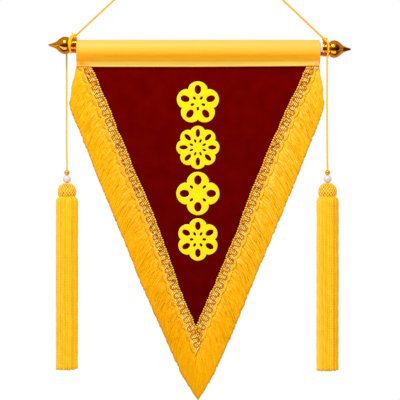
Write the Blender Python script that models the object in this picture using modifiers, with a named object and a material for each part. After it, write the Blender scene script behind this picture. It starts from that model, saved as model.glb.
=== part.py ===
"""Triangular pennant on a hanging rod.

A dark red velvet triangle hangs from a satin sleeve on a plastic rod. Gold braid and yarn fringe
run down its two slanting edges, gilt finials close the rod, and a cord holds it by its two necks.
A tassel hangs from each neck. Units are metres, +Z is up, +X is to the viewer's right and the front
faces -Y. The origin is the inside top of the hanging loop, where a nail or a hook bears.
"""
import math

import bmesh
import bpy
from mathutils import Vector

GAP = 0.0003  # clearance between pieces that touch on the real object

# Rod and finials: the rod hangs a little out of level inside the level sleeve
ROD_Z = -0.1510
ROD_SLOPE = -0.0138  # fall of the rod for each metre to the right
ROD_RADIUS = 0.0053
ROD_END_RADIUS = 0.0077
ROD_END_LENGTH = 0.0050  # the thick end that shows beside the right finial
ROD_MID_X = 0.0013
ROD_HALF = 0.1366  # from the rod's middle to a finial's inner face
COLLAR_RADIUS = 0.0086
NECK_FLOOR_RADIUS = 0.0074
NECK_OFFSET = {"left": 0.0071, "right": 0.0059}  # where a tassel cord lies in the neck groove

# Height above the rod's end and radius, from the tip down to the inner face
FINIAL_PROFILE = (
    (0.0313, 0.0), (0.0311, 0.0008), (0.0297, 0.0014), (0.0276, 0.0020), (0.0252, 0.0028),
    (0.0230, 0.0038), (0.0210, 0.0054), (0.0188, 0.0073), (0.0169, 0.0086), (0.0148, 0.0095),
    (0.01265, 0.0097), (0.0104, 0.0094), (0.0092, 0.0090), (0.0084, 0.0085),
    (0.0083, NECK_FLOOR_RADIUS), (0.0046, NECK_FLOOR_RADIUS), (0.0045, 0.0083),
    (0.0037, COLLAR_RADIUS), (0.0028, 0.0083), (0.0025, 0.0076), (0.0022, 0.0084),
    (0.0012, COLLAR_RADIUS), (0.0001, 0.0081), (0.0, 0.0),
)
FINIAL_STEPS = 20

# Velvet field: the triangle that the braid's outer edge draws, and the cloth just inside it
EDGE_TOP_Z = -0.1652
EDGE_HALF = 0.1349
TIP_X = -0.0014
TIP_Z = -0.4926
CLOTH_INSET = 0.0028
VELVET = 0.0015

# Satin sleeve with its two-layer heading flange
SATIN = 0.0012
SLEEVE_RADIUS = 0.0108
SLEEVE_LEFT = -0.1350
SLEEVE_RIGHT = 0.1349
SLEEVE_AXIS_Z = -0.1530
FLANGE_BOTTOM_Z = -0.1729
FLANGE_TOP_Z = -0.1650
SLEEVE_MOUTH = math.radians(24)  # half of the arc where the tube opens into the flange
SLEEVE_STEPS = 18

# Height and how far the sleeve's left and right ends stand out there
SLEEVE_ENDS = (
    (-0.1421, 0.0000, -0.0006),
    (-0.1560, 0.0000, 0.0004),
    (-0.1650, 0.0002, 0.0018),
    (-0.1729, -0.0005, -0.0022),
)

# Fringe: a tape under the braid and its hanging locks
TAPE = 0.0010
TAPE_INNER = -0.0085
TAPE_FLARE = {"left": 0.0041, "right": 0.0017}  # how far its cut end stands out under the flange
TAPE_FLARE_LENGTH = 0.020
LOCKS = 64
LOCK_GAP = 0.08  # share of a lock's lane left free on each side
LOCK_STATIONS = 3
LOCK_THICK = (0.0010, 0.0024, 0.0024, 0.0015)  # from the root to the tip
LOCK_UNEVEN = 0.03
LOCK_SWAY = 0.0001

# Share of the way down the edge, spread of the left and of the right fringe, and drop
FRINGE_HANG = (
    (0.00, 0.0066, 0.0064, 0.0330),
    (0.05, 0.0180, 0.0150, 0.0302),
    (0.12, 0.0180, 0.0170, 0.0300),
    (0.70, 0.0180, 0.0168, 0.0300),
    (0.85, 0.0152, 0.0162, 0.0320),
    (0.94, 0.0116, 0.0140, 0.0400),
    (1.00, 0.0003, 0.0005, 0.0514),
)

# Gimp braid over the tape
BRAID = 0.0014
BRAID_WIDTH = 0.0133
BRAID_EDGE = -0.0006
BRAID_SCALLOP = 0.0016
SCALLOP_PITCH = 0.0140
BRAID_RIB = 0.0004
BRAID_STATIONS = 92

# Cords, beads and tassels
HANG_CORD = 0.0018
TASSEL_CORD = 0.0017
CORD_POINTS = 24  # of a straight leg
TURN_POINTS = 20  # round a neck
HANG_POINTS = 24  # from there down to the bead
LOOP_KNOT_Z = -0.0100
LOOP_KNOT_RADIUS = 0.0026
LOOP_HALF_WIDTH = 0.0032
NECK_KNOT_OFFSET = 0.0018  # from a finial's inner face
NECK_KNOT = (0.0024, 0.0020, 0.0019)
TASSEL_SPOT = {"left": (-0.1465, 0.0109), "right": (0.1431, -0.00855)}
TASSEL_HANG = 0.0130  # the cords hang straight from this far below the rod's middle

# From a neck down: share of the way across to the tassel, depth, and height from the neck's middle
CORD_DRAPE = {
    "left": ((0.12, 0.0091, 0.0026), (0.42, 0.0102, -0.0010), (0.80, 0.0108, -0.0046),
             (0.98, 0.0109, -0.0085)),
    "right": ((0.0, -0.00855, -0.0040), (0.75, -0.00855, -0.0092)),
}
CORD_TURN_END = {"left": 145, "right": 180}  # degrees round the neck
GOLD_BEAD_Z = -0.2903
GOLD_BEAD_RADIUS = 0.0028
PEARL_Z = -0.29775
PEARL_RADIUS = 0.0043
HEAD_TOP_Z = -0.3024

# Depth below the head's top and radius, from the top down
HEAD_PROFILE = (
    (0.0, 0.0), (0.0, 0.0042), (0.0010, 0.0068), (0.0024, 0.0085), (0.0046, 0.0098),
    (0.0075, 0.0104), (0.0105, 0.0104), (0.0130, 0.0098), (0.0150, 0.0086), (0.0152, 0.0),
)
CROWN_PROFILE = (
    (0.0155, 0.0), (0.0155, 0.0090), (0.0160, 0.0104), (0.0178, 0.0116), (0.0205, 0.0124),
    (0.0240, 0.0126), (0.0240, 0.0),
)
SKIRT_BOTTOM_Z = -0.5092
STRAND = 0.0018
STRAND_RINGS = ((0.0115, 30), (0.0086, 18), (0.0054, 8))  # radius and number of strands
SKIRT_RAGGED = 0.0013

# Appliqué rosettes down the middle of the field: height and radius
ORNAMENT_X = -0.0006
ORNAMENT_THICK = 0.0010
ORNAMENTS = (
    {"z": -0.2129, "radius": 0.0240, "lobes": 5, "depth": 0.24,
     "rings": ((5, 0.62, 0.21, 0.15, 0.0), (5, 0.27, 0.09, 0.06, 0.5))},
    {"z": -0.2623, "radius": 0.0240, "lobes": 8, "depth": 0.15,
     "rings": ((8, 0.66, 0.19, 0.10, 0.0), (8, 0.32, 0.09, 0.05, 0.5))},
    {"z": -0.3134, "radius": 0.0240, "lobes": 4, "depth": 0.30,
     "rings": ((4, 0.62, 0.22, 0.17, 0.0), (4, 0.42, 0.10, 0.06, 0.5))},
    {"z": -0.3644, "radius": 0.0235, "lobes": 6, "depth": 0.20,
     "rings": ((6, 0.64, 0.20, 0.13, 0.0), (6, 0.30, 0.09, 0.06, 0.5))},
)
LOBE_POINTS = 8
HOLE_POINTS = 8

SIDES = {"left": -1, "right": 1}


def clear_scene():
    """Remove every object that the file holds."""
    for obj in list(bpy.data.objects):
        bpy.data.objects.remove(obj, do_unlink=True)


def new_collection(name):
    """A collection in the scene."""
    collection = bpy.data.collections.new(name)
    bpy.context.scene.collection.children.link(collection)
    return collection


def finish_colour(name, colour, roughness, metallic=0.0):
    """A plain Principled material."""
    look = bpy.data.materials.new(name)
    look.use_nodes = True
    shader = look.node_tree.nodes["Principled BSDF"]
    shader.inputs["Base Color"].default_value = (*colour, 1.0)
    shader.inputs["Roughness"].default_value = roughness
    shader.inputs["Metallic"].default_value = metallic
    look.diffuse_color = (*colour, 1.0)
    return look


def place(obj, look, collection):
    """Give an object its material and put it in the collection."""
    obj.data.materials.clear()
    obj.data.materials.append(look)
    for home in list(obj.users_collection):
        home.objects.unlink(obj)
    collection.objects.link(obj)
    return obj


def from_bmesh(name, bm):
    """Turn a finished bmesh into an object."""
    bmesh.ops.recalc_face_normals(bm, faces=bm.faces)
    mesh = bpy.data.meshes.new(name)
    bm.to_mesh(mesh)
    bm.free()
    return bpy.data.objects.new(name, mesh)


def interpolate(rows, key, column):
    """Read a column of a short table at a place between its rows."""
    for low, high in zip(rows, rows[1:]):
        inside = min(low[0], high[0]) <= key <= max(low[0], high[0])
        if inside:
            share = (key - low[0]) / (high[0] - low[0])
            return low[column] + share * (high[column] - low[column])
    nearest = min(rows, key=lambda row: abs(row[0] - key))
    return nearest[column]


def turned(name, profile, steps):
    """A profile of (height, radius), outer side from top to bottom, turned about Z."""
    mesh = bpy.data.meshes.new(name)
    verts = [(radius, 0.0, height) for height, radius in profile]
    edges = [(i, i + 1) for i in range(len(verts) - 1)]
    mesh.from_pydata(verts, edges, [])
    obj = bpy.data.objects.new(name, mesh)
    screw = obj.modifiers.new("turn", "SCREW")
    screw.axis = "Z"
    screw.steps = steps
    screw.render_steps = steps
    screw.use_merge_vertices = True
    screw.merge_threshold = 0.00001
    screw.use_smooth_shade = True
    return obj


def ball(name, centre, radii, segments, rings):
    """A closed ball with its own radius along each axis."""
    bpy.ops.mesh.primitive_uv_sphere_add(segments=segments, ring_count=rings, radius=1.0)
    obj = bpy.context.active_object
    obj.name = name
    obj.data.name = name
    for vert in obj.data.vertices:
        vert.co = Vector(c + v * r for c, v, r in zip(centre, vert.co, radii))
    obj.data.shade_smooth()
    return obj


def cord_tube(name, points, diameter, cyclic=False):
    """A round cord along a list of points."""
    curve = bpy.data.curves.new(name, "CURVE")
    curve.dimensions = "3D"
    curve.bevel_depth = diameter / 2
    curve.bevel_resolution = 2
    curve.use_fill_caps = True
    spline = curve.splines.new("POLY")
    spline.points.add(len(points) - 1)
    for target, point in zip(spline.points, points):
        target.co = (*point, 1.0)
    spline.use_cyclic_u = cyclic
    return bpy.data.objects.new(name, curve)


def smooth_route(points, count):
    """Even points along a smooth curve through the given ones."""
    points = [Vector(p) for p in points]
    ends = [points[0] * 2 - points[1], *points, points[-1] * 2 - points[-2]]
    fine = []
    for a, b, c, d in zip(ends, ends[1:], ends[2:], ends[3:]):
        for step in range(16):
            t = step / 16
            fine.append(0.5 * (2 * b + (c - a) * t + (2 * a - 5 * b + 4 * c - d) * t * t
                               + (3 * b - a - 3 * c + d) * t ** 3))
    fine.append(points[-1])
    reach = [0.0]
    for low, high in zip(fine, fine[1:]):
        reach.append(reach[-1] + (high - low).length)
    route = []
    for index in range(count):
        goal = reach[-1] * index / (count - 1)
        span = max(i for i in range(len(fine) - 1) if reach[i] <= goal or i == 0)
        share = (goal - reach[span]) / (reach[span + 1] - reach[span])
        route.append(fine[span].lerp(fine[span + 1], share))
    return route


def rod_end_x(side, offset):
    """X of a place on the rod's line, measured outwards from a finial's inner face."""
    return ROD_MID_X + SIDES[side] * (ROD_HALF + offset)


def rod_z(x):
    """Height of the rod's middle line at x."""
    return ROD_Z + ROD_SLOPE * (x - ROD_MID_X)


class Edge:
    """One slanting edge: s runs down it from the sleeve, n stands out from it, away from the cloth."""

    def __init__(self, side):
        self.sign = SIDES[side]
        self.top = Vector((self.sign * EDGE_HALF, 0.0, EDGE_TOP_Z))
        self.tip = Vector((TIP_X, 0.0, TIP_Z))
        self.along = (self.tip - self.top).normalized()
        self.out = Vector((-self.along.z, 0.0, self.along.x)) * self.sign

    def point(self, s, n, y=0.0):
        """The place s along, n out and at depth y."""
        spot = self.top + self.along * s + self.out * n
        spot.y = y
        return spot

    def at_height(self, n, z):
        """How far along lane n reaches the height z."""
        return (z - self.top.z - self.out.z * n) / self.along.z

    def at_other(self, n, other, other_n):
        """How far along lane n meets lane other_n of the other edge."""
        start = self.top + self.out * n - other.top
        return (other_n - start.dot(other.out)) / self.along.dot(other.out)

    def at_middle(self, n):
        """How far along lane n meets the upright line through the tip, a little short of it."""
        start_x = self.top.x + self.out.x * n
        return (TIP_X + self.sign * GAP / 2 - start_x) / self.along.x


def build_rod(look, parts):
    """The plain round rod between the finials, with its thick end on the right."""
    left = rod_end_x("left", -GAP)
    right = rod_end_x("right", -GAP)
    length = right - left
    shoulder = length - ROD_END_LENGTH
    profile = ((length, 0.0), (length, ROD_END_RADIUS), (shoulder, ROD_END_RADIUS),
               (shoulder, ROD_RADIUS), (0.0, ROD_RADIUS), (0.0, 0.0))
    rod = turned("rod", profile, 24)
    rod.location = (left, 0.0, rod_z(left))
    rod.rotation_euler = (0.0, math.pi / 2 - math.atan(ROD_SLOPE), 0.0)
    place(rod, look, parts)


def build_finials(look, parts):
    """A turned gilt end cap for each end of the rod."""
    for side, sign in SIDES.items():
        finial = turned(f"finial_{side}", FINIAL_PROFILE, FINIAL_STEPS)
        face_x = rod_end_x(side, 0.0)
        finial.location = (face_x, 0.0, rod_z(face_x))
        finial.rotation_euler = (0.0, sign * math.pi / 2 - math.atan(ROD_SLOPE), 0.0)
        place(finial, look, parts)


def build_sleeve(look, parts):
    """One satin cloth: round the rod as a tube, then down as the flange's front and back layer."""
    middle = SLEEVE_RADIUS - SATIN / 2
    layer = VELVET / 2 + GAP + SATIN / 2
    line = [(-layer, FLANGE_BOTTOM_Z), (-layer, FLANGE_TOP_Z)]
    for step in range(SLEEVE_STEPS + 1):
        angle = SLEEVE_MOUTH + (2 * math.pi - 2 * SLEEVE_MOUTH) * step / SLEEVE_STEPS
        line.append((-middle * math.sin(angle), SLEEVE_AXIS_Z - middle * math.cos(angle)))
    line += [(layer, FLANGE_TOP_Z), (layer, FLANGE_BOTTOM_Z)]
    bm = bmesh.new()
    left = []
    for y, z in line:
        left.append(bm.verts.new((SLEEVE_LEFT - interpolate(SLEEVE_ENDS, z, 1), y, z)))
    edges = [bm.edges.new(pair) for pair in zip(left, left[1:])]
    made = bmesh.ops.extrude_edge_only(bm, edges=edges)["geom"]
    for vert in (v for v in made if isinstance(v, bmesh.types.BMVert)):
        vert.co.x = SLEEVE_RIGHT + interpolate(SLEEVE_ENDS, vert.co.z, 2)
    sleeve = from_bmesh("sleeve", bm)
    wall = sleeve.modifiers.new("satin", "SOLIDIFY")
    wall.thickness = SATIN
    wall.offset = 0.0
    wall.use_even_offset = True
    place(sleeve, look, parts)


def build_field(look, parts):
    """The velvet triangle, its top edge held between the flange's layers."""
    left, right = Edge("left"), Edge("right")
    corners = [
        left.point(left.at_height(-CLOTH_INSET, EDGE_TOP_Z), -CLOTH_INSET),
        right.point(right.at_height(-CLOTH_INSET, EDGE_TOP_Z), -CLOTH_INSET),
        left.point(left.at_other(-CLOTH_INSET, right, -CLOTH_INSET), -CLOTH_INSET),
    ]
    curve = flat_outline("field", [[(p.x, p.z) for p in corners]], VELVET)
    place(curve, look, parts)


def flat_outline(name, outlines, thickness, y=0.0):
    """A flat piece in the XZ plane from an outline and its holes, at depth y."""
    curve = bpy.data.curves.new(name, "CURVE")
    curve.dimensions = "2D"
    curve.fill_mode = "BOTH"
    curve.extrude = thickness / 2
    for outline in outlines:
        spline = curve.splines.new("POLY")
        spline.points.add(len(outline) - 1)
        for target, (x, z) in zip(spline.points, outline):
            target.co = (x, z, 0.0, 1.0)
        spline.use_cyclic_u = True
    obj = bpy.data.objects.new(name, curve)
    obj.rotation_euler = (math.pi / 2, 0.0, 0.0)
    obj.location = (0.0, y, 0.0)
    return obj


def build_braids(look, parts):
    """A ribbed strip with a scalloped outer edge down each side; the left one runs on to the point."""
    back = -(VELVET / 2 + GAP + TAPE + GAP)
    front = back - BRAID
    for side in SIDES:
        edge = Edge(side)
        other = Edge("left" if side == "right" else "right")
        stop = -BRAID_WIDTH - GAP if side == "right" else BRAID_EDGE
        bm = bmesh.new()
        rings = []
        for station in range(BRAID_STATIONS + 1):
            share = station / BRAID_STATIONS
            length = TIP_Z - EDGE_TOP_Z
            wave = abs(math.sin(math.pi * share * length / SCALLOP_PITCH))
            rib = BRAID_RIB if station % 2 else -BRAID_RIB
            lanes = (
                (-BRAID_WIDTH, back), (-BRAID_WIDTH, front), (-0.68 * BRAID_WIDTH, front - rib),
                (-0.32 * BRAID_WIDTH, front + rib), (BRAID_EDGE - BRAID_SCALLOP * (1 - wave), front),
                (BRAID_EDGE - BRAID_SCALLOP * (1 - wave), back),
            )
            ring = []
            for n, y in lanes:
                first = edge.at_height(n, FLANGE_BOTTOM_Z - GAP)
                last = edge.at_other(n, other, stop)
                ring.append(bm.verts.new(edge.point(first + share * (last - first), n, y)))
            rings.append(ring)
        loft(bm, rings)
        place(from_bmesh(f"braid_{side}", bm), look, parts)


def loft(bm, rings, open_sides=()):
    """Skin a row of closed sections and close both ends; open_sides are (span, side) left out."""
    for span, (low, high) in enumerate(zip(rings, rings[1:])):
        for a, b in zip(range(len(low)), [*range(1, len(low)), 0]):
            if (span, a) not in open_sides:
                bm.faces.new((low[a], low[b], high[b], high[a]))
    bm.faces.new(rings[0])
    bm.faces.new(reversed(rings[-1]))


def build_fringes(look, parts):
    """A tape under the braid whose outer edge grows into hanging locks, one lane each."""
    middle = -(VELVET / 2 + GAP + TAPE / 2)
    for side in SIDES:
        edge = Edge(side)
        column = 1 if side == "left" else 2
        inner_start = edge.at_height(TAPE_INNER, FLANGE_BOTTOM_Z - GAP)
        outer_start = edge.at_height(0.0, FLANGE_BOTTOM_Z - GAP)
        inner_end = edge.at_middle(TAPE_INNER)
        outer_end = edge.at_middle(0.0)

        def root(share):
            """A place on the tape's outer edge, which stands out at its cut end."""
            s = share * (outer_end - outer_start)
            flare = max(0.0, 1 - s / TAPE_FLARE_LENGTH)
            spot = edge.point(outer_start + s, 0.0)
            spot.x += edge.sign * TAPE_FLARE[side] * flare ** 2
            return spot

        def hang(share, way):
            """A lock's line: out and down at first, then steeper."""
            spread = edge.sign * interpolate(FRINGE_HANG, share, column)
            drop = interpolate(FRINGE_HANG, share, 3)
            bend = Vector((0.55 * spread, 0.0, -0.30 * drop))
            end = Vector((spread, 0.0, -drop))
            return root(share) + 2 * way * (1 - way) * bend + way * way * end

        shares = []
        for lock in range(LOCKS):
            shares += [(lock + LOCK_GAP) / LOCKS, (lock + 1 - LOCK_GAP) / LOCKS]
        shares[0] = 0.0
        shares[-1] = 1.0
        bm = bmesh.new()
        rings = []
        for share in shares:
            inner = edge.point(inner_start + share * (inner_end - inner_start), TAPE_INNER)
            outer = root(share)
            section = ((inner, TAPE / 2), (inner, -TAPE / 2), (outer, -TAPE / 2), (outer, TAPE / 2))
            rings.append([bm.verts.new((p.x, middle + y, p.z)) for p, y in section])
        loft(bm, rings, open_sides={(2 * lock, 2) for lock in range(LOCKS)})
        for lock in range(LOCKS):
            low, high = rings[2 * lock], rings[2 * lock + 1]
            lanes = shares[2 * lock:2 * lock + 2]
            section = [low[2], high[2], high[3], low[3]]
            length = 1.0 - LOCK_UNEVEN * (1 + math.sin(2.4 * lock))
            for station in range(1, LOCK_STATIONS + 1):
                way = length * station / LOCK_STATIONS
                y = middle + LOCK_SWAY * station * math.sin(1.7 * lock)
                half = LOCK_THICK[station] / 2
                low_spot, high_spot = (hang(share, way) for share in lanes)
                corners = ((low_spot, -half), (high_spot, -half), (high_spot, half), (low_spot, half))
                further = [bm.verts.new((p.x, y + depth, p.z)) for p, depth in corners]
                for a, b in zip(range(4), (1, 2, 3, 0)):
                    bm.faces.new((section[a], section[b], further[b], further[a]))
                section = further
            bm.faces.new(section)
        place(from_bmesh(f"fringe_{side}", bm), look, parts)


def neck_turn_radius():
    """Radius of a tassel cord's turn round a finial's neck."""
    return NECK_FLOOR_RADIUS + GAP + TASSEL_CORD / 2


def build_hanging_cord(look, parts):
    """Two straight legs from the knots on the necks to the knot under the hanging loop."""
    apex = Vector((0.0, 0.0, LOOP_KNOT_Z))
    for side in SIDES:
        knot_x = rod_end_x(side, NECK_KNOT_OFFSET)
        knot = Vector((knot_x, 0.0, rod_z(knot_x) + COLLAR_RADIUS + GAP + NECK_KNOT[2]))
        place(ball(f"neck_knot_{side}", knot, NECK_KNOT, 12, 8), look, parts)
        up = (apex - knot).normalized()
        low = knot + up * (NECK_KNOT[0] + GAP)
        high = apex - up * (LOOP_KNOT_RADIUS + GAP)
        leg = [low.lerp(high, i / (CORD_POINTS - 1)) for i in range(CORD_POINTS)]
        place(cord_tube(f"hang_cord_{side}", leg, HANG_CORD), look, parts)


def build_hanging_loop(look, parts, helpers):
    """A small eye of cord over the knot that joins the two legs, one closed piece."""
    middle = (HANG_CORD / 2 + LOOP_KNOT_Z) / 2
    half = (HANG_CORD / 2 - LOOP_KNOT_Z) / 2
    line = []
    for step in range(16):
        turn = 2 * math.pi * step / 16
        x = LOOP_HALF_WIDTH * math.sin(turn) * (1 + 0.3 * math.cos(turn))
        line.append((x, 0.0, middle + half * math.cos(turn)))
    eye = as_mesh(cord_tube("loop_eye", line, HANG_CORD, cyclic=True), helpers)
    hide_helper(eye)
    centre = (0.0, 0.0, LOOP_KNOT_Z)
    knot = ball("hang_loop", centre, (LOOP_KNOT_RADIUS,) * 3, 12, 8)
    join(knot, eye)
    place(knot, look, parts)


def as_mesh(curve, helpers):
    """A curve made a closed mesh with its caps welded."""
    helpers.objects.link(curve)
    bpy.context.view_layer.update()
    evaluated = curve.evaluated_get(bpy.context.evaluated_depsgraph_get())
    mesh = bpy.data.meshes.new_from_object(evaluated)
    bm = bmesh.new()
    bm.from_mesh(mesh)
    bmesh.ops.remove_doubles(bm, verts=bm.verts, dist=0.00001)
    bm.to_mesh(mesh)
    bm.free()
    solid = bpy.data.objects.new(curve.name, mesh)
    solid.matrix_world = curve.matrix_world.copy()
    bpy.data.objects.remove(curve)
    helpers.objects.link(solid)
    return solid


def hide_helper(obj):
    """Mark an object as a helper that isn't part of the model."""
    obj.hide_render = True
    obj.display_type = "WIRE"


def join(obj, helper):
    """Fuse a helper into an object."""
    union = obj.modifiers.new("join", "BOOLEAN")
    union.operation = "UNION"
    union.solver = "EXACT"
    union.object = helper


def build_tassel_cords(look, parts):
    """Each cord takes most of a turn round a finial's neck and then hangs down to the gold bead."""
    radius = neck_turn_radius()
    end_z = GOLD_BEAD_Z + GOLD_BEAD_RADIUS + GAP
    for side in SIDES:
        neck_x = rod_end_x(side, NECK_OFFSET[side])
        neck_z = rod_z(neck_x)
        hang_x, hang_y = TASSEL_SPOT[side]
        front = -1 if side == "left" else 1
        route = []
        for angle in range(-75, CORD_TURN_END[side] + 1, 20):
            turn = math.radians(angle)
            route.append((neck_x, front * radius * math.cos(turn), neck_z + radius * math.sin(turn)))
        for share, y, z in CORD_DRAPE[side]:
            route.append((neck_x + share * (hang_x - neck_x), y, neck_z + z))
        hang_z = neck_z - TASSEL_HANG
        route.append((hang_x, hang_y, hang_z))
        line = smooth_route(route, TURN_POINTS)
        for step in range(1, HANG_POINTS + 1):
            line.append(Vector((hang_x, hang_y, hang_z + (end_z - hang_z) * step / HANG_POINTS)))
        place(cord_tube(f"tassel_cord_{side}", line, TASSEL_CORD), look, parts)


def build_tassels(cord_look, pearl_look, gold_look, parts, helpers):
    """Gold bead, pearl, net-covered head and skirt of strands on each cord."""
    for side in SIDES:
        x, y = TASSEL_SPOT[side]
        bead = ball(f"gold_bead_{side}", (x, y, GOLD_BEAD_Z), (GOLD_BEAD_RADIUS,) * 3, 12, 8)
        place(bead, gold_look, parts)
        pearl = ball(f"pearl_{side}", (x, y, PEARL_Z), (PEARL_RADIUS,) * 3, 12, 8)
        place(pearl, pearl_look, parts)
        head = turned(f"tassel_head_{side}", [(-z, r) for z, r in HEAD_PROFILE], 18)
        head.location = (x, y, HEAD_TOP_Z)
        place(head, cord_look, parts)
        crown = turned(f"tassel_skirt_{side}", [(-z, r) for z, r in CROWN_PROFILE], 24)
        crown.location = (x, y, HEAD_TOP_Z)
        strands = build_strands(f"strands_{side}", x, y)
        helpers.objects.link(strands)
        hide_helper(strands)
        join(crown, strands)
        place(crown, cord_look, parts)


def build_strands(name, x, y):
    """The skirt's four-sided strands, in rings, their tops inside the crown."""
    top_z = HEAD_TOP_Z - CROWN_PROFILE[-1][0] + 0.0010
    bm = bmesh.new()
    for radius, count in STRAND_RINGS:
        for index in range(count):
            turn = 2 * math.pi * index / count
            outward = Vector((math.cos(turn), math.sin(turn), 0.0))
            sideways = Vector((-outward.y, outward.x, 0.0))
            ragged = SKIRT_RAGGED * math.sin(2.4 * index + 90 * radius)
            corner = 0.0016 * max(0.0, outward.x) ** 4
            heights = (top_z, (top_z + SKIRT_BOTTOM_Z) / 2, SKIRT_BOTTOM_Z + ragged + corner)
            rings = []
            for z, lean in zip(heights, (0.0, 0.00015 * math.sin(1.9 * index), 0.0)):
                middle = Vector((x, y, z)) + outward * (radius + lean)
                half = STRAND / 2
                square = ((-half, -half), (half, -half), (half, half), (-half, half))
                rings.append([bm.verts.new(middle + outward * a + sideways * b) for a, b in square])
            loft(bm, rings)
    return from_bmesh(name, bm)


def build_ornaments(look, parts):
    """Four flat satin rosettes with cut-out petals, just in front of the velvet."""
    y = -(VELVET / 2 + GAP + ORNAMENT_THICK / 2)
    for number, ornament in enumerate(ORNAMENTS, start=1):
        outlines = [rosette(ornament)]
        for ring in ornament["rings"]:
            outlines += petal_holes(ornament["radius"], *ring)
        shifted = [[(ORNAMENT_X + a, ornament["z"] + b) for a, b in line] for line in outlines]
        place(flat_outline(f"ornament_{number}", shifted, ORNAMENT_THICK, y), look, parts)


def rosette(ornament):
    """A lobed outline: the radius falls in between the lobes."""
    count = ornament["lobes"] * LOBE_POINTS
    outline = []
    for step in range(count):
        turn = 2 * math.pi * step / count
        swell = abs(math.cos(ornament["lobes"] * turn / 2)) ** 0.7
        radius = ornament["radius"] * (1 - ornament["depth"] * (1 - swell))
        outline.append((radius * math.sin(turn), radius * math.cos(turn)))
    return outline


def petal_holes(size, count, reach, half_length, half_width, turn_share):
    """A ring of pointed oval holes; reach and half sizes are shares of the rosette's radius."""
    holes = []
    for index in range(count):
        turn = 2 * math.pi * (index + turn_share) / count
        hole = []
        for step in range(HOLE_POINTS):
            way = 2 * math.pi * step / HOLE_POINTS
            along = size * (reach + half_length * math.cos(way))
            across = size * half_width * math.sin(way)
            hole.append((along * math.sin(turn) + across * math.cos(turn),
                         along * math.cos(turn) - across * math.sin(turn)))
        holes.append(hole)
    return holes


def main():
    """Build every piece."""
    clear_scene()
    parts = new_collection("triangular_pennant")
    helpers = new_collection("helpers")
    satin = finish_colour("gold_satin", (0.95, 0.55, 0.05), 0.45)
    velvet = finish_colour("red_velvet", (0.15, 0.0, 0.0), 0.9)
    yarn = finish_colour("gold_yarn", (0.90, 0.45, 0.02), 0.7)
    cord = finish_colour("gold_cord", (0.90, 0.50, 0.04), 0.6)
    gilt = finish_colour("gilt", (0.85, 0.50, 0.08), 0.15, metallic=1.0)
    plastic = finish_colour("white_plastic", (0.85, 0.85, 0.90), 0.4)
    pearl = finish_colour("pearl", (0.85, 0.82, 0.80), 0.2)
    build_rod(plastic, parts)
    build_finials(gilt, parts)
    build_sleeve(satin, parts)
    build_field(velvet, parts)
    build_fringes(yarn, parts)
    build_braids(cord, parts)
    build_ornaments(satin, parts)
    build_hanging_cord(cord, parts)
    build_hanging_loop(cord, parts, helpers)
    build_tassel_cords(cord, parts)
    build_tassels(yarn, pearl, gilt, parts, helpers)


main()
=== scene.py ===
"""Looks of the triangular pennant on a hanging rod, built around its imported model.

Metres, +Z up, the front faces -Y. The origin is the inside top of the hanging loop.
"""

import bmesh
import bpy
import numpy as np
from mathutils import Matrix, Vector


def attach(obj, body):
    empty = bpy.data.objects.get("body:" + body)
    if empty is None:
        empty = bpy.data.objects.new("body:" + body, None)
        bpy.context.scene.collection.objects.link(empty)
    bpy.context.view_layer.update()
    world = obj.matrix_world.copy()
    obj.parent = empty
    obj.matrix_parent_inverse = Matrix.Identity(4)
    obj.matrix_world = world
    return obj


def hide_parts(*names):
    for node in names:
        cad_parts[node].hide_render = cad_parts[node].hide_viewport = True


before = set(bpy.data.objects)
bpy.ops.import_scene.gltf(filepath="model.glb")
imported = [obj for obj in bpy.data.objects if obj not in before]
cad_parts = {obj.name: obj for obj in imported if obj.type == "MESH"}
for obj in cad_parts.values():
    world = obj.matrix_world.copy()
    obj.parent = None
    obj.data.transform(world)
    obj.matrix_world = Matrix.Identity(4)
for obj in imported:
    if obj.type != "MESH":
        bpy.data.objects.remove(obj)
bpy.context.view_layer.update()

# Camera: a long lens straight in front of the pennant, so far away that perspective hardly shows.
# The view is as wide as the photograph's, and its middle is the photograph's own.
VIEW_PIXELS = 400
PIXEL = 0.00111  # metres of the pennant in each pixel of the view's width
VIEW_CENTRE = Vector((0.0017, 0.0, -0.3206))
LENS = 250.0
SENSOR = 36.0
FAR_ENOUGH = 50.0
camera = bpy.data.objects.new("camera", bpy.data.cameras.new("camera"))
bpy.context.collection.objects.link(camera)
camera.data.lens = LENS
camera.data.sensor_width = SENSOR
camera.data.clip_end = FAR_ENOUGH
camera.location = VIEW_CENTRE + Vector((0.0, -VIEW_PIXELS * PIXEL * LENS / SENSOR, 0.0))
camera.rotation_euler = (np.pi / 2, 0.0, 0.0)
bpy.context.scene.camera = camera
bpy.context.scene.view_settings.view_transform = "Standard"


# Studio: a white room with one soft round lamp at the upper left and a pale paper floor.
# Gloss mirrors another room, with light and dark bands, so that the turned metal has its contrast.
def feed(tree, node, sockets):
    """Give each socket of a node a number, a colour or another node's output."""
    for name, value in sockets.items():
        if isinstance(value, bpy.types.NodeSocket):
            tree.links.new(value, node.inputs[name])
        else:
            node.inputs[name].default_value = value


def add_node(tree, kind, sockets=None, **settings):
    """A new node with its settings made and its sockets fed."""
    node = tree.nodes.new(kind)
    for name, value in settings.items():
        setattr(node, name, value)
    feed(tree, node, sockets or {})
    return node


def calculated(tree, operation, *values):
    """The output of one sum on numbers or outputs."""
    return add_node(tree, "ShaderNodeMath", dict(enumerate(values)), operation=operation).outputs[0]


def ranged(tree, value, span, results=(0.0, 1.0)):
    """An output moved from one span of numbers to another, and held at its ends."""
    names = ("From Min", "From Max", "To Min", "To Max")
    sockets = {"Value": value, **dict(zip(names, (*span, *results)))}
    return add_node(tree, "ShaderNodeMapRange", sockets).outputs["Result"]


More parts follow.
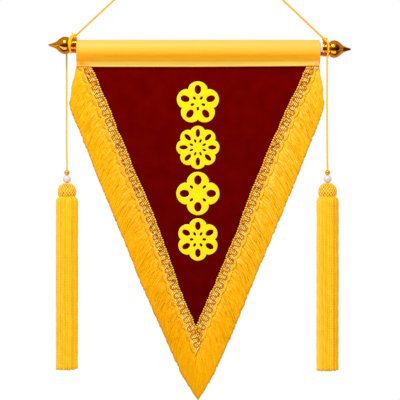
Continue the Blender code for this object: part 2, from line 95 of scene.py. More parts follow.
def graded(tree, amount, stops):
    """Colours for an output, blended between (place, colour) stops in rising order."""
    ramp = add_node(tree, "ShaderNodeValToRGB", {"Fac": amount})
    elements = ramp.color_ramp.elements
    for element, (place, colour) in zip(elements, (stops[0], stops[-1])):
        element.position = place
        element.color = (*colour, 1.0)
    for place, colour in stops[1:-1]:
        elements.new(place).color = (*colour, 1.0)
    return ramp.outputs["Color"]


def parted(tree, vector):
    """The X, Y and Z outputs of a vector."""
    return add_node(tree, "ShaderNodeSeparateXYZ", {0: vector}).outputs


def new_look(name):
    """A material with its node tree and its shader."""
    look = bpy.data.materials.new(name)
    look.use_nodes = True
    return look, look.node_tree, look.node_tree.nodes["Principled BSDF"]


KEY_PLACE = Vector((-0.22, -0.72, 0.68))
key = bpy.data.objects.new("key", bpy.data.lights.new("key", "AREA"))
key.data.shape = "DISK"
key.data.size = 0.38
key.data.energy = 11.0
key.location = KEY_PLACE
key.rotation_euler = (VIEW_CENTRE - KEY_PLACE).to_track_quat("-Z", "Y").to_euler()
bpy.context.collection.objects.link(key)

ROOM_LIGHT = 0.80
WHITE = (1.0, 1.0, 1.0, 1.0)
MIRRORED = (  # degrees below (-) or above the front, and the grey that gloss mirrors there
    (-180, 0.60), (-112, 0.62), (-88, 0.04), (-68, 0.05), (-55, 2.3), (-38, 2.3),
    (-24, 0.04), (8, 0.03), (26, 0.40), (60, 0.55), (90, 0.50), (180, 0.55),
)
DIM_TO_RIGHT = (0.10, 0.45)
DIM_IN_FRONT = (0.05, -0.30)
DIM_SHARE = 0.92
room = bpy.data.worlds.new("room")
bpy.context.scene.world = room
room.use_nodes = True
tree = room.node_tree
tree.nodes.clear()
ray = add_node(tree, "ShaderNodeLightPath").outputs
way = parted(tree, add_node(tree, "ShaderNodeTexCoord").outputs["Generated"])
angle = calculated(tree, "ARCTAN2", way["Z"], calculated(tree, "MULTIPLY", way["Y"], -1.0))
greys = [((degrees + 180) / 360, (grey, grey, grey)) for degrees, grey in MIRRORED]
bands = graded(tree, ranged(tree, angle, (-np.pi, np.pi)), greys)
to_right = ranged(tree, way["X"], DIM_TO_RIGHT, (0.0, DIM_SHARE))
dimmed = calculated(tree, "MULTIPLY", to_right, ranged(tree, way["Y"], DIM_IN_FRONT))
mirrored_light = calculated(tree, "SUBTRACT", 1.0, dimmed)
glow = []
for colour, strength in ((WHITE, ROOM_LIGHT), (bands, mirrored_light), (WHITE, 1.0)):
    glow.append(add_node(tree, "ShaderNodeBackground", {"Color": colour, "Strength": strength}).outputs[0])
lit, mirrored, seen = glow
by_gloss = add_node(tree, "ShaderNodeMixShader", {"Fac": ray["Is Glossy Ray"], 1: lit, 2: mirrored})
by_camera = {"Fac": ray["Is Camera Ray"], 1: by_gloss.outputs[0], 2: seen}
surface = add_node(tree, "ShaderNodeMixShader", by_camera).outputs[0]
add_node(tree, "ShaderNodeOutputWorld", {"Surface": surface})

FLOOR_Z = -0.75
FLOOR_HALF = 2
corners = [(FLOOR_HALF * x, FLOOR_HALF * y, FLOOR_Z) for x, y in ((-1, -1), (1, -1), (1, 1), (-1, 1))]
floor = bpy.data.objects.new("floor", bpy.data.meshes.new("floor"))
floor.data.from_pydata(corners, [], [(0, 1, 2, 3)])
bpy.context.collection.objects.link(floor)
paper, tree, shader = new_look("paper_floor")
feed(tree, shader, {"Base Color": (0.95, 0.95, 0.95, 1.0), "Roughness": 0.9})
floor.data.materials.append(paper)
floor.visible_glossy = False


# Hanging cord: thin gold cord that runs from the neck of each finial up to the hanging loop.
# It is twisted from three plies of shiny rayon yarn, so it is made as a tube with a lobed section that
# turns along it. The pennant's weight draws both legs taut.
def add_piece(name, mesh, look):
    """An object of the scene from a mesh in one material."""
    mesh.materials.append(look)
    obj = bpy.data.objects.new(name, mesh)
    bpy.context.collection.objects.link(obj)
    return obj


def set_marks(mesh, values):
    """Give each point of a mesh the three numbers that its material reads as "weave"."""
    weave = mesh.attributes.new("weave", "FLOAT_VECTOR", "POINT")
    weave.data.foreach_set("vector", values.astype(np.float32).ravel())


def mesh_object(name, grids, look, marks=None):
    """One object of tubes from grids of points, each (rows, columns, 3) or (count, rows, columns, 3).

    Neighbouring points make four-sided faces, the last column joins the first, and both ends get a flat
    cap. marks gives each grid the three numbers, or an array of them, that its material reads.
    """
    faces, points, values, smooth = [], [], [], []
    first = 0
    for number, grid in enumerate(grids):
        rows, columns = grid.shape[-3:-1]
        left = first + np.arange(grid.size // 3).reshape(-1, rows, columns)
        right = np.roll(left, -1, axis=2)
        quads = np.stack([left[:, :-1], right[:, :-1], right[:, 1:], left[:, 1:]], axis=-1)
        faces += quads.reshape(-1, 4).tolist() + left[:, 0, ::-1].tolist() + left[:, -1].tolist()
        smooth += [True] * (quads.size // 4) + [False] * (2 * len(left))
        points.append(grid.reshape(-1, 3))
        if marks is not None:
            values.append(np.broadcast_to(marks[number], grid.shape).reshape(-1, 3))
        first += grid.size // 3
    mesh = bpy.data.meshes.new(name)
    mesh.from_pydata(np.concatenate(points).tolist(), [], faces)
    if marks is not None:
        set_marks(mesh, np.concatenate(values))
    mesh.polygons.foreach_set("use_smooth", smooth)
    return add_piece(name, mesh, look)


def resampled(route, spacing):
    """Even points along a smooth curve (Catmull-Rom) through the route's points, and its length."""
    route = np.asarray(route, float)
    ends = np.vstack([2 * route[0] - route[1], route, 2 * route[-1] - route[-2]])
    t = np.linspace(0, 1, 24, endpoint=False)[:, None]
    spans = []
    for a, b, c, d in zip(ends, ends[1:], ends[2:], ends[3:]):
        spans.append(0.5 * (2 * b + (c - a) * t + (2 * a - 5 * b + 4 * c - d) * t ** 2
                            + (3 * b - a - 3 * c + d) * t ** 3))
    fine = np.vstack([*spans, route[-1:]])
    reach = np.concatenate([[0], np.cumsum(np.linalg.norm(np.diff(fine, axis=0), axis=1))])
    goals = np.linspace(0, reach[-1], max(4, int(round(reach[-1] / spacing)) + 1))
    return np.stack([np.interp(goals, reach, fine[:, k]) for k in range(3)], axis=1), reach[-1]


def twisted(route, radius, pitch, plies=3, lobes=0.20, sides=9, step=8):
    """Rows of points of a twisted cord along a route, and its length.

    radius * (1 - lobes / 2 + lobes / 2 * cos(plies * angle)) is its section, which turns once a pitch.
    """
    line, length = resampled(route, pitch / step)
    along = np.gradient(line, axis=0)
    along /= np.linalg.norm(along, axis=1, keepdims=True)
    side = np.empty_like(along)
    first = np.cross(along[0], (0.31, 0.85, 0.42))
    side[0] = first / np.linalg.norm(first)
    for i in range(1, len(along)):
        turned = side[i - 1] - along[i] * (side[i - 1] @ along[i])
        side[i] = turned / np.linalg.norm(turned)
    other = np.cross(along, side)
    angle = 2 * np.pi * np.arange(sides) / sides
    twist = 2 * np.pi * np.linspace(0, length / pitch, len(line))[:, None] + angle[None, :]
    reach = radius * (1 - lobes / 2 + lobes / 2 * np.cos(plies * angle))[None, :]
    points = line[:, None] + (reach * np.cos(twist))[..., None] * side[:, None]
    return points + (reach * np.sin(twist))[..., None] * other[:, None], length


def own_place(tree):
    """The output that gives each point's place on the object."""
    return add_node(tree, "ShaderNodeTexCoord").outputs["Object"]


def grain(tree, place, scale, detail=2.0):
    """Uneven grain, from 0 to 1, over an output of places."""
    sockets = {"Vector": place, "Scale": scale, "Detail": detail}
    return add_node(tree, "ShaderNodeTexNoise", sockets).outputs["Fac"]


def bumped(tree, height, strength, distance):
    """The surface's direction, tilted as if by the height of an output."""
    sockets = {"Height": height, "Strength": strength, "Distance": distance}
    return add_node(tree, "ShaderNodeBump", sockets).outputs["Normal"]


def yarn_look(name, light, deep, scale=900.0):
    """Shiny yarn: fine fibre streaks that vary the colour from deep to light, with a small bump."""
    look, tree, shader = new_look(name)
    fibres = grain(tree, own_place(tree), scale, 3.0)
    feed(tree, shader, {
        "Base Color": graded(tree, fibres, ((0.35, deep), (0.62, light))),
        "Normal": bumped(tree, fibres, 0.35, 0.0002),
        "Roughness": 0.6,
        "Specular IOR Level": 0.03,
    })
    return look


def rod_height(x):
    """The height of the rod's axis, which hangs a little lower on the right."""
    return ROD_MID.z + ROD_SLOPE * (x - ROD_MID.x)


cord_yarn = yarn_look("cord_yarn", (1.0, 0.47, 0.0), (1.0, 0.32, 0.0))
ROD_MID = Vector((0.0013, 0.0, -0.1510))
ROD_SLOPE = -0.0138
ROD_HALF = 0.1366
SIDES = {"left": -1, "right": 1}
NECK_KNOT_OFFSET = 0.0018
NECK_KNOT_RISE = 0.0108
LOOP_KNOT = (0.0, 0.0, -0.0100)
LEG_SHIFT = {"left": (0.0007, 0.0013), "right": (0.0, 0.0)}
LEG_RADIUS = 0.00110
LEG_PITCH = 0.0034
CORD_LOBES = 0.08
neck_knots = {}
for side, sign in SIDES.items():
    knot_x = ROD_MID.x + sign * (ROD_HALF + NECK_KNOT_OFFSET)
    neck_knots[side] = (knot_x, 0.0, rod_height(knot_x) + NECK_KNOT_RISE)
    ends = np.array([neck_knots[side], LOOP_KNOT])
    ends[:, 0] += LEG_SHIFT[side]
    route = ends[0] + np.linspace(0, 1, 20)[:, None] * (ends[1] - ends[0])
    points, length = twisted(route, LEG_RADIUS, LEG_PITCH, lobes=CORD_LOBES)
    leg = mesh_object(f"cord_leg_{side}", [points], cord_yarn)
    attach(leg, "root")
    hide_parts(f"hang_cord_{side}")

# Tassel cords: the same thin gold cord in a paler yarn, one for each tassel.
# Each is wrapped once round its finial's neck and falls straight to the gold bead, drawn down by the tassel.
tassel_cord_yarn = yarn_look("tassel_cord_yarn", (0.81, 0.56, 0.0), (0.70, 0.44, 0.0))
NECK_OFFSET = {"left": 0.0071, "right": 0.0059}
TASSEL_SPOT = {"left": (-0.1465, 0.0109), "right": (0.1429, -0.00855)}
CORD_SHIFT = {"left": -0.0004, "right": -0.0006}
CORD_DRAPE = {  # share of the way from the neck to the fall, depth, height above the rod's axis
    "left": ((0.12, 0.0091, 0.0026), (0.42, 0.0102, -0.0010), (0.80, 0.0108, -0.0046),
             (0.98, 0.0109, -0.0085)),
    "right": ((0.0, -0.00855, -0.0040), (0.75, -0.00855, -0.0092)),
}
TURN_START, TURN_STEP = -75, 20  # degrees round the neck
TURN_END = {"left": 145, "right": 180}
TURN_RADIUS = 0.00855
FALL_START = 0.0130
BEAD_TOP_Z = -0.2875
STRAIGHT_ABOVE_BEAD = 0.03
TASSEL_CORD_RADIUS = 0.00100
TASSEL_CORD_PITCH = 0.0032
for side, sign in SIDES.items():
    neck_x = ROD_MID.x + sign * (ROD_HALF + NECK_OFFSET[side])
    neck_z = rod_height(neck_x)
    hang_x, hang_y = TASSEL_SPOT[side]
    turn = np.radians(np.arange(TURN_START, TURN_END[side] + 1, TURN_STEP))
    route = [(neck_x, sign * TURN_RADIUS * np.cos(a), neck_z + TURN_RADIUS * np.sin(a)) for a in turn]
    fall_x = hang_x + CORD_SHIFT[side]
    route += [(neck_x + share * (fall_x - neck_x), y, neck_z + z) for share, y, z in CORD_DRAPE[side]]
    for z in np.linspace(neck_z - FALL_START, BEAD_TOP_Z, 12):
        route.append((hang_x + CORD_SHIFT[side] * min(1, (z - BEAD_TOP_Z) / STRAIGHT_ABOVE_BEAD), hang_y, z))
    points, length = twisted(route, TASSEL_CORD_RADIUS, TASSEL_CORD_PITCH, lobes=CORD_LOBES)
    cord = mesh_object(f"hanging_cord_{side}", [points], tassel_cord_yarn)
    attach(cord, "root")
    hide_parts(f"tassel_cord_{side}")
    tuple(route[0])
    resampled(route, 0.004)[0].tolist()


# Neck knots: the hanging cord is tied off on each finial's neck with its own two ends.
# Each knot is two small coils of the cord, a cut tail and the strands that pass down round the neck.
def coil(centre, axis, radius, turns, length):
    """A helix of points round a short axis: radius, number of turns and length along the axis."""
    axis = np.asarray(axis) / np.linalg.norm(axis)
    side = np.cross(axis, (0.0, 1.0, 0.0))
    side /= np.linalg.norm(side)
    other = np.cross(axis, side)
    t = np.linspace(0, 1, int(10 * turns) + 1)[:, None]
    angle = 2 * np.pi * turns * t
    ring = radius * (np.cos(angle) * side + np.sin(angle) * other)
    return np.asarray(centre) + (t - 0.5) * length * axis + ring


knot_yarn = yarn_look("knot_yarn", (1.0, 0.62, 0.03), (1.0, 0.34, 0.0))
KNOT_COIL = {"radius": 0.0014, "turns": 2.3, "length": 0.0032}
KNOT_CORD_RADIUS = 0.00098
KNOT_STRANDS = {
    "left": (((-0.1389, -0.0006, -0.1375), (-0.1398, -0.0010, -0.1360), (-0.1401, -0.0012, -0.1350)),
             ((-0.1380, 0.0, -0.1378), (-0.1412, -0.0028, -0.1386), (-0.1431, -0.0080, -0.1440),
              (-0.1433, -0.0096, -0.1485), (-0.1426, -0.0088, -0.1530), (-0.1408, -0.0044, -0.1577)),
             ((-0.1366, 0.0, -0.1392), (-0.1396, -0.0034, -0.1398), (-0.1413, -0.0072, -0.1432),
              (-0.1414, -0.0094, -0.1480)),
             ((-0.1392, -0.0008, -0.1396), (-0.1370, -0.0010, -0.1395), (-0.1352, -0.0012, -0.1401),
              (-0.1349, -0.0012, -0.1418))),
    "right": (((0.1402, -0.0006, -0.1418), (0.1420, -0.0012, -0.1412), (0.1436, -0.0014, -0.1424)),
              ((0.1376, 0.0, -0.1410), (0.1410, -0.0036, -0.1430), (0.1432, -0.0078, -0.1463),
               (0.1441, -0.0097, -0.1507), (0.1438, -0.0098, -0.1555), (0.1431, -0.0090, -0.1600))),
}
for side in SIDES:
    axis = np.array(LOOP_KNOT) - np.array(neck_knots[side])
    strands = [coil(neck_knots[side], axis, **KNOT_COIL), *KNOT_STRANDS[side]]
    grids = [twisted(route, KNOT_CORD_RADIUS, TASSEL_CORD_PITCH)[0] for route in strands]
    knot = mesh_object(f"knot_{side}", grids, knot_yarn)
    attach(knot, "root")
    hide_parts(f"neck_knot_{side}")

# Hanging loop: the hanging cord's middle, laid in a small eye that goes over a nail or hook.
# A knot of two coils under the eye holds both legs together.
EYE_HALF_WIDTH = 0.0032
EYE_HALF_HEIGHT = 0.00545
EYE_MIDDLE_Z = -0.00455
EYE_EGG_SHAPE = 0.3
LOOP_COIL = {"radius": 0.0016, "turns": 2.4, "length": 0.0036}
LOOP_CORD_RADIUS = 0.0009
turn = np.linspace(0, 2 * np.pi, 33)
eye_x = EYE_HALF_WIDTH * np.sin(turn) * (1 + EYE_EGG_SHAPE * np.cos(turn))
eye = np.stack([eye_x, 0 * turn, EYE_MIDDLE_Z + EYE_HALF_HEIGHT * np.cos(turn)], axis=1)
wrap = coil(LOOP_KNOT, (0, 0, 1), **LOOP_COIL)
grids = [twisted(route, LOOP_CORD_RADIUS, LEG_PITCH)[0] for route in (eye, wrap)]
loop = mesh_object("loop_with_knot", grids, cord_yarn)
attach(loop, "root")
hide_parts("hang_loop")


# Finials: tear-drop end caps with a collar of two rings, pushed on the ends of the rod.
# They are turned metal or plastic with a bright gold plating under clear lacquer.
def turned_rows(profile, steps, spacing=0.0003):
    """Rows of points of a (height, radius) profile turned about the X axis, height along +X."""
    flat = np.array([(height, radius, 0.0) for height, radius in profile])
    line, _ = resampled(flat, spacing)
    angle = 2 * np.pi * np.arange(steps) / steps
    radius = np.maximum(line[:, 1], 0.00002)[:, None]
    height = np.repeat(line[:, :1], steps, axis=1)
    return np.stack([height, radius * np.cos(angle), -radius * np.sin(angle)], axis=-1)


def metal_look(name, sockets):
    """Plated metal with small soft dents, its colours and gloss given by the sockets."""
    look, tree, shader = new_look(name)
    dents = grain(tree, own_place(tree), 160.0)
    feed(tree, shader, {"Metallic": 1.0, "Normal": bumped(tree, dents, 0.10, 0.0006), **sockets})
    return look


gilt = metal_look("gilt_plating", {
    "Base Color": (1.0, 0.32, 0.003, 1.0),
    "Specular Tint": (1.0, 0.30, 0.0, 1.0),
    "Roughness": 0.17,
    "Coat Weight": 0.10,
    "Coat Roughness": 0.10,
})
FINIAL_PROFILE = (
    (0.0313, 0.0), (0.0311, 0.0008), (0.0297, 0.0014), (0.0276, 0.0020), (0.0252, 0.0028),
    (0.0230, 0.0038), (0.0210, 0.0054), (0.0188, 0.0073), (0.0169, 0.0086), (0.0148, 0.0095),
    (0.01265, 0.0097), (0.0104, 0.0094), (0.0092, 0.0090), (0.0085, 0.0085), (0.0083, 0.0076),
    (0.0079, 0.0074), (0.0052, 0.0074), (0.0047, 0.0076), (0.0045, 0.0083), (0.0037, 0.0086),
    (0.0029, 0.0083), (0.0025, 0.0077), (0.0021, 0.0083), (0.0012, 0.0086), (0.0003, 0.0083),
    (0.0, 0.0078), (0.0, 0.0),
)
FINIAL_SIDES = 60
lean = np.arctan(ROD_SLOPE)
for side, sign in SIDES.items():
    rows = turned_rows(FINIAL_PROFILE, FINIAL_SIDES)
    height, depth, up = rows[..., 0] * sign, rows[..., 1], rows[..., 2] * sign
    face_x = ROD_MID.x + sign * ROD_HALF
    cap_x = face_x + height * np.cos(lean) - up * np.sin(lean)
    cap_z = rod_height(face_x) + height * np.sin(lean) + up * np.cos(lean)
    cap = mesh_object(f"cap_{side}", [np.stack([cap_x, depth, cap_z], axis=-1)], gilt)
    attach(cap, "root")
    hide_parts(f"finial_{side}")


# Rod: a straight tube of white plastic with a finial on each end and the sleeve round the rest.
# It shows only at its right end, where its underside has a painted red reflection of the velvet below.
def clouded_look(name, scale, shades, reflection_span, reflected_colour, sockets):
    """Two clouded shades that turn to another colour below a height: a painted reflection of light thrown up
    from below.
    """
    look, tree, shader = new_look(name)
    cloud = graded(tree, grain(tree, own_place(tree), scale), ((0.0, shades[0]), (1.0, shades[1])))
    low = ranged(tree, parted(tree, own_place(tree))["Z"], reflection_span)
    mix = add_node(tree, "ShaderNodeMix", {"Factor": low, "A": cloud, "B": reflected_colour}, data_type="RGBA")
    feed(tree, shader, {"Base Color": mix.outputs["Result"], **sockets})
    return look


# The red below the rod's axis is a painted reflection of the velvet.
rod_plastic = clouded_look("white_rod_plastic", 700.0, ((0.66, 0.62, 0.74), (0.84, 0.81, 0.88)),
                           (-0.1558, -0.1570), (0.42, 0.010, 0.012, 1.0), {"Roughness": 0.35})
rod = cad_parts["rod"]
rod.data.materials.clear()
rod.data.materials.append(rod_plastic)

# Beads: a small gilt ball over a pearl, threaded on each tassel cord.
# Both are moulded with a bore for the cord, and they sit on top of the tassel's head.
BEADS = {"gold_bead": (-0.2902, 0.0030), "pearl": (-0.2975, 0.0044)}  # height of the middle, radius
BORE_RADIUS = 0.00095
BEAD_SIDES = 56
# The pearl's orange below is a painted reflection of the gold tassel head under it.
pearl_look = clouded_look("pearl_lustre", 130.0, ((0.56, 0.56, 0.60), (0.70, 0.64, 0.61)),
                          (-0.2995, -0.3008), (1.0, 0.56, 0.03, 1.0),
                          {"Roughness": 0.22, "Coat Weight": 0.3, "Coat Roughness": 0.12})
bead_gilt = metal_look("bead_gilt", {
    "Base Color": (1.0, 0.38, 0.0, 1.0),
    "Specular Tint": (1.0, 0.40, 0.05, 1.0),
    "Roughness": 0.30,
    "Metallic": 0.45,
    "Specular IOR Level": 0.3,
})
for side in SIDES:
    x, y = TASSEL_SPOT[side]
    for node, (z, radius) in BEADS.items():
        down = np.linspace(0.0, np.pi, 33)
        profile = [(radius * np.cos(a), max(radius * np.sin(a), BORE_RADIUS)) for a in down]
        rows = turned_rows(profile, BEAD_SIDES)
        points = np.stack([x + rows[..., 1], y + rows[..., 2], z + rows[..., 0]], axis=-1)
        bead = mesh_object(f"{node}_ball_{side}", [points], bead_gilt if node == "gold_bead" else pearl_look)
        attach(bead, "root")
        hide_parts(f"{node}_{side}")


# Sleeve: one piece of gold satin, wrapped over the rod and stitched below it through both layers.
# The layers go on as a flange that holds the velvet's top edge between them, with a rolled hem.
def sheet_object(name, front, back, look):
    """A closed cloth of some thickness from two equal grids of points (rows, columns, 3)."""
    rows, columns = front.shape[:2]
    index = np.arange(rows * columns).reshape(rows, columns)
    quads = np.stack([index[:-1, :-1], index[1:, :-1], index[1:, 1:], index[:-1, 1:]], axis=-1).reshape(-1, 4)
    rim = np.concatenate([index[0, :-1], index[:-1, -1], index[-1, :0:-1], index[:0:-1, 0]])
    count = rows * columns
    side = np.stack([rim, np.roll(rim, -1), np.roll(rim, -1) + count, rim + count], axis=-1)
    faces = np.concatenate([quads, quads[:, ::-1] + count, side]).tolist()
    mesh = bpy.data.meshes.new(name)
    mesh.from_pydata(np.concatenate([front.reshape(-1, 3), back.reshape(-1, 3)]).tolist(), [], faces)
    mesh.shade_smooth()
    return add_piece(name, mesh, look)


def ripple(x, z, seed, scale):
    """Smooth uneven waves between -1 and 1 from a few sines of unlike length."""
    chance = np.random.default_rng(seed)
    total = np.zeros(np.broadcast(x, z).shape)
    for _ in range(7):
        angle, phase = chance.uniform(0, 2 * np.pi), chance.uniform(0, 2 * np.pi)
        stretch = chance.uniform(0.5, 1.8)
        total += np.sin((x * np.cos(angle) + z * np.sin(angle)) * stretch / scale + phase)
    return total / 7


def rise(value, start, width):
    """0 before the start, 1 past the width, straight between them; a negative width counts downwards."""
    return np.clip((value - start) / width, 0, 1)


def band(value, middle, width):
    """A bell curve, exp(-distance squared), with 1 at the middle and 0.37 a width away."""
    return np.exp(-((value - middle) / width) ** 2)


def tones(value, stops):
    """Colours for an array of values, blended between (value, colour) stops."""
    places = [place for place, _ in stops]
    return np.stack([np.interp(value, places, [colour[k] for _, colour in stops]) for k in range(3)], axis=-1)


def toward(colours, tint, share):
    """Colours moved some share of the way to a tint."""
    share = np.clip(share, 0, 1)[..., None]
    return np.asarray(colours) * (1 - share) + np.asarray(tint) * share


def weave_mark(tree):
    """The output of the three numbers that set_marks gives each point."""
    return add_node(tree, "ShaderNodeAttribute", attribute_name="weave").outputs["Vector"]


def satin_look(name, roughness=0.38):
    """Satin in the colour of its mark, with fine crosswise threads."""
    look, tree, shader = new_look(name)
    wave = {"Vector": own_place(tree), "Scale": 900.0, "Distortion": 0.6}
    threads = add_node(tree, "ShaderNodeTexWave", wave, bands_direction="X").outputs["Fac"]
    feed(tree, shader, {
        "Base Color": weave_mark(tree),
        "Normal": bumped(tree, threads, 0.12, 0.0001),
        "Roughness": roughness,
        "Specular IOR Level": 0.12,
    })
    return look


SATIN = 0.0012
SLEEVE_RADIUS = 0.00985
SLEEVE_AXIS_Z = -0.1533
SLEEVE_TURN = 0.0308  # from the flange's low edge to the top of the sleeve, which the colours span
FLANGE_LOW = -0.1731
FLANGE_TOP = -0.1650
SEAM_Z = -0.1666
LAYER = 0.00165
MOUTH = np.radians(24)
LEFT_END = -0.1350
RIGHT_END = 0.1349
SLEEVE_ENDS = np.array((  # height, how far past the left end, how far past the right end
    (-0.1731, 0.0000, -0.0010),
    (-0.1650, 0.0007, 0.0003),
    (-0.1560, 0.0003, 0.0003),
    (-0.1421, 0.0000, -0.0006),
))
# The satin's colour by height, with painted light and shade over the sleeve's round and its flange
SATIN_SHADING_STOPS = (  # share of the height, colour
    (0.00, (0.66, 0.40, 0.055)), (0.13, (0.66, 0.41, 0.045)), (0.24, (0.76, 0.42, 0.030)),
    (0.33, (1.0, 0.44, 0.002)), (0.50, (1.0, 0.445, 0.014)), (0.65, (0.95, 0.465, 0.056)),
    (0.87, (0.70, 0.425, 0.072)), (1.00, (0.64, 0.41, 0.070)),
)
END_CROWDING = 0.9
HEM_CLIMB, HEM_CLIMB_RIGHT = 0.0002, 0.0007  # the hem's rise in the middle, and what 0.1 m more adds
CLIMB_TOP, CLIMB_HEIGHT = -0.1660, 0.0065
SIDE_HEM = ((0.00030, 0.0012, 0.0009), (-0.00018, 0.0030, 0.0007))  # height, place from the end, width
ROLLED_HEM = (0.00095, 0.0003, 0.0011)  # the same, from the low edge
SEAM_DIP, SEAM_WIDTH = -0.00022, 0.0006
TIGHT_RIPPLE, LOOSE_RIPPLE = 0.00004, 0.00022
ORANGE_GLINT = (1.0, 0.34, 0.0)
# A painted highlight along the folded hems at the sleeve's ends
CREASE_HIGHLIGHT = (1.0, 0.60, 0.08)
# Painted light and shade of folds across the right corner: (place across it, tint)
CORNER_FOLD_SHADING = ((0.0, (1.0, 0.72, 0.24)), (0.0013, (1.0, 0.24, 0.0)), (0.0025, (1.0, 0.62, 0.12)))

# The section, from the front layer's hem round the rod to the back layer's hem
arc = MOUTH + (2 * np.pi - 2 * MOUTH) * np.linspace(0, 1, 72)
drop = np.linspace(FLANGE_LOW, FLANGE_TOP, 22)
line = np.concatenate([
    np.stack([-LAYER + 0 * drop, drop], axis=1),
    np.stack([-SLEEVE_RADIUS * np.sin(arc), SLEEVE_AXIS_Z - SLEEVE_RADIUS * np.cos(arc)], axis=1),
    np.stack([LAYER + 0 * drop, drop[::-1]], axis=1),
])
for _ in range(3):
    line[1:-1] = 0.25 * line[:-2] + 0.5 * line[1:-1] + 0.25 * line[2:]
heading = np.gradient(line, axis=0)
normal = np.stack([heading[:, 1], -heading[:, 0]], axis=1)
normal /= -np.linalg.norm(normal, axis=1, keepdims=True)

# The section carried from end to end, with its rows closer together near the ends
share = np.linspace(0, 1, 121)
share = share - END_CROWDING * np.sin(2 * np.pi * share) / (2 * np.pi)
low_x = LEFT_END - np.interp(line[:, 1], SLEEVE_ENDS[:, 0], SLEEVE_ENDS[:, 1])
high_x = RIGHT_END + np.interp(line[:, 1], SLEEVE_ENDS[:, 0], SLEEVE_ENDS[:, 2])
x = low_x[None, :] + share[:, None] * (high_x - low_x)[None, :]
z = np.broadcast_to(line[:, 1], x.shape)
hem_climb = HEM_CLIMB + HEM_CLIMB_RIGHT * np.clip(x / 0.1, 0, 1.2)
z = z + hem_climb * rise(z, CLIMB_TOP, -CLIMB_HEIGHT)
loose = rise(z, SLEEVE_AXIS_Z, -0.012)

# The surface stands out at the side hems and the rolled hem, and is drawn in at the seam
from_end = np.minimum(x - low_x, high_x - x)
from_low = z - z[:, :1]
side_hem = sum(height * band(from_end, place, width) for height, place, width in SIDE_HEM)
roll = ROLLED_HEM[0] * band(from_low, *ROLLED_HEM[1:])
seam = SEAM_DIP * band(z, SEAM_Z, SEAM_WIDTH)
raised = side_hem + roll + seam + (TIGHT_RIPPLE + LOOSE_RIPPLE * loose) * ripple(x, 3 * z, 4, 0.006)
y = np.broadcast_to(line[:, 0], x.shape)
stand = SATIN / 2 + raised
outer = np.stack([x, y + normal[:, 0] * stand, z + normal[:, 1] * stand], axis=-1)
inner = np.stack([x, y - normal[:, 0] * SATIN / 2, z - normal[:, 1] * SATIN / 2], axis=-1)

# Painted light and shade of the satin by height, then painted light and shade on parts of the flange, and its
# seam's shadow: (tint, share of it)
flange = rise(z, FLANGE_TOP, -0.0008)
at_ends = np.maximum(rise(x, 0.1115, 0.012), rise(x, -0.1125, -0.012))
left_end_shade = band(x, -0.1298, 0.0024) * band(z, -0.1690, 0.0030)
right_corner = rise(x, 0.1262, 0.001) * rise(z, -0.1652, -0.0006) * rise(z, -0.1706, 0.0006)
across_corner = (x - 0.1296) * 0.72 - (z + 0.1676) * 0.69
tints = [
    # Painted orange shade over the left end of the flange
    ((1.0, 0.35, 0.0), 0.85 * flange * rise(x, -0.112, -0.016) ** 1.5),  # orange over the left end
    # Painted light: the flange lighter towards its right end
    ((0.95, 0.55, 0.08), 0.5 * flange * rise(x, 0.03, 0.08)),  # warmer to the right
    ((0.58, 0.30, 0.010), 0.5 * band(z, SEAM_Z, 0.0004)),  # the shadow in the seam
    ((0.95, 0.60, 0.12), 0.35 * band(z, -0.1718, 0.0005)),  # the light along the rolled hem
    # Painted orange shade in a spot near the left end
    ((1.0, 0.27, 0.0), 1.3 * left_end_shade),
    (ORANGE_GLINT, 0.75 * flange * rise(x, 0.1285, 0.002)),
    # Painted highlights along the folded hems at both ends
    (CREASE_HIGHLIGHT, 0.45 * flange * band(x, -0.1328, 0.00045)),
    (CREASE_HIGHLIGHT, 0.75 * flange * band(x, 0.1326, 0.00045)),
    # Painted shade on the turned side hems at both ends
    ((0.95, 0.20, 0.0), 0.9 * flange * rise(x, 0.1334, 0.0004)),  # the turned side hem on the right
    ((1.0, 0.38, 0.002), 0.8 * flange * rise(x, -0.1335, -0.0004)),  # and on the left
]
# Painted light and shade of folds across the right corner, in bands
for shift, tint in CORNER_FOLD_SHADING:
    tints.append((tint, 0.9 * right_corner * band(across_corner, shift * 0.72, 0.00042)))
hem_shadow = flange * rise(from_low, 0.0009, -0.0005) * (0.35 + 0.65 * at_ends)
tints.append(((0.95, 0.12, 0.0), hem_shadow))
# The satin's colour with its painted light and shade by height, then the flange's painted tints
tinted = tones((z - FLANGE_LOW) / SLEEVE_TURN, SATIN_SHADING_STOPS)
for tint, strength in tints:
    tinted = toward(tinted, tint, strength)
tinted *= (1 + 0.05 * ripple(x, 9 * z, 6, 0.008) * (0.25 + 0.75 * loose))[..., None]
sleeve = sheet_object("satin_sleeve", outer, inner, satin_look("gold_satin_cloth"))
set_marks(sleeve.data, np.concatenate([tinted.reshape(-1, 3), tinted.reshape(-1, 3)]))
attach(sleeve, "root")
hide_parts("sleeve")


# Field: one triangle of dark red velvet, cut to the two slanting edges that the braid and fringe follow.
# Its top edge is stitched between the sleeve's two layers, and it hangs from them with a slight ripple.
class Edge:
    """One slanting edge: s runs down it from the sleeve, n stands out from it, away from the cloth."""

    def __init__(self, side):
        self.sign = SIDES[side]
        self.top = np.array([self.sign * RIGHT_END, FIELD_TOP])
        self.tip = np.array(EDGE_TIP)
        self.length = np.linalg.norm(self.tip - self.top)
        self.along = (self.tip - self.top) / self.length
        self.out = np.array([-self.along[1], self.along[0]]) * self.sign

    def point(self, s, n):
        """The places s along and n out, as (..., 2) in X and Z."""
        s, n = np.broadcast_arrays(s, n)
        return self.top + s[..., None] * self.along + n[..., None] * self.out

    def at_height(self, n, z):
        """How far along lane n reaches the height z."""
        return (z - self.top[1] - self.out[1] * n) / self.along[1]


def scaled(tree, colour, amount):
    """An output of colours made lighter or darker by another output."""
    sockets = {0: colour, "Scale": amount}
    return add_node(tree, "ShaderNodeVectorMath", sockets, operation="SCALE").outputs["Vector"]


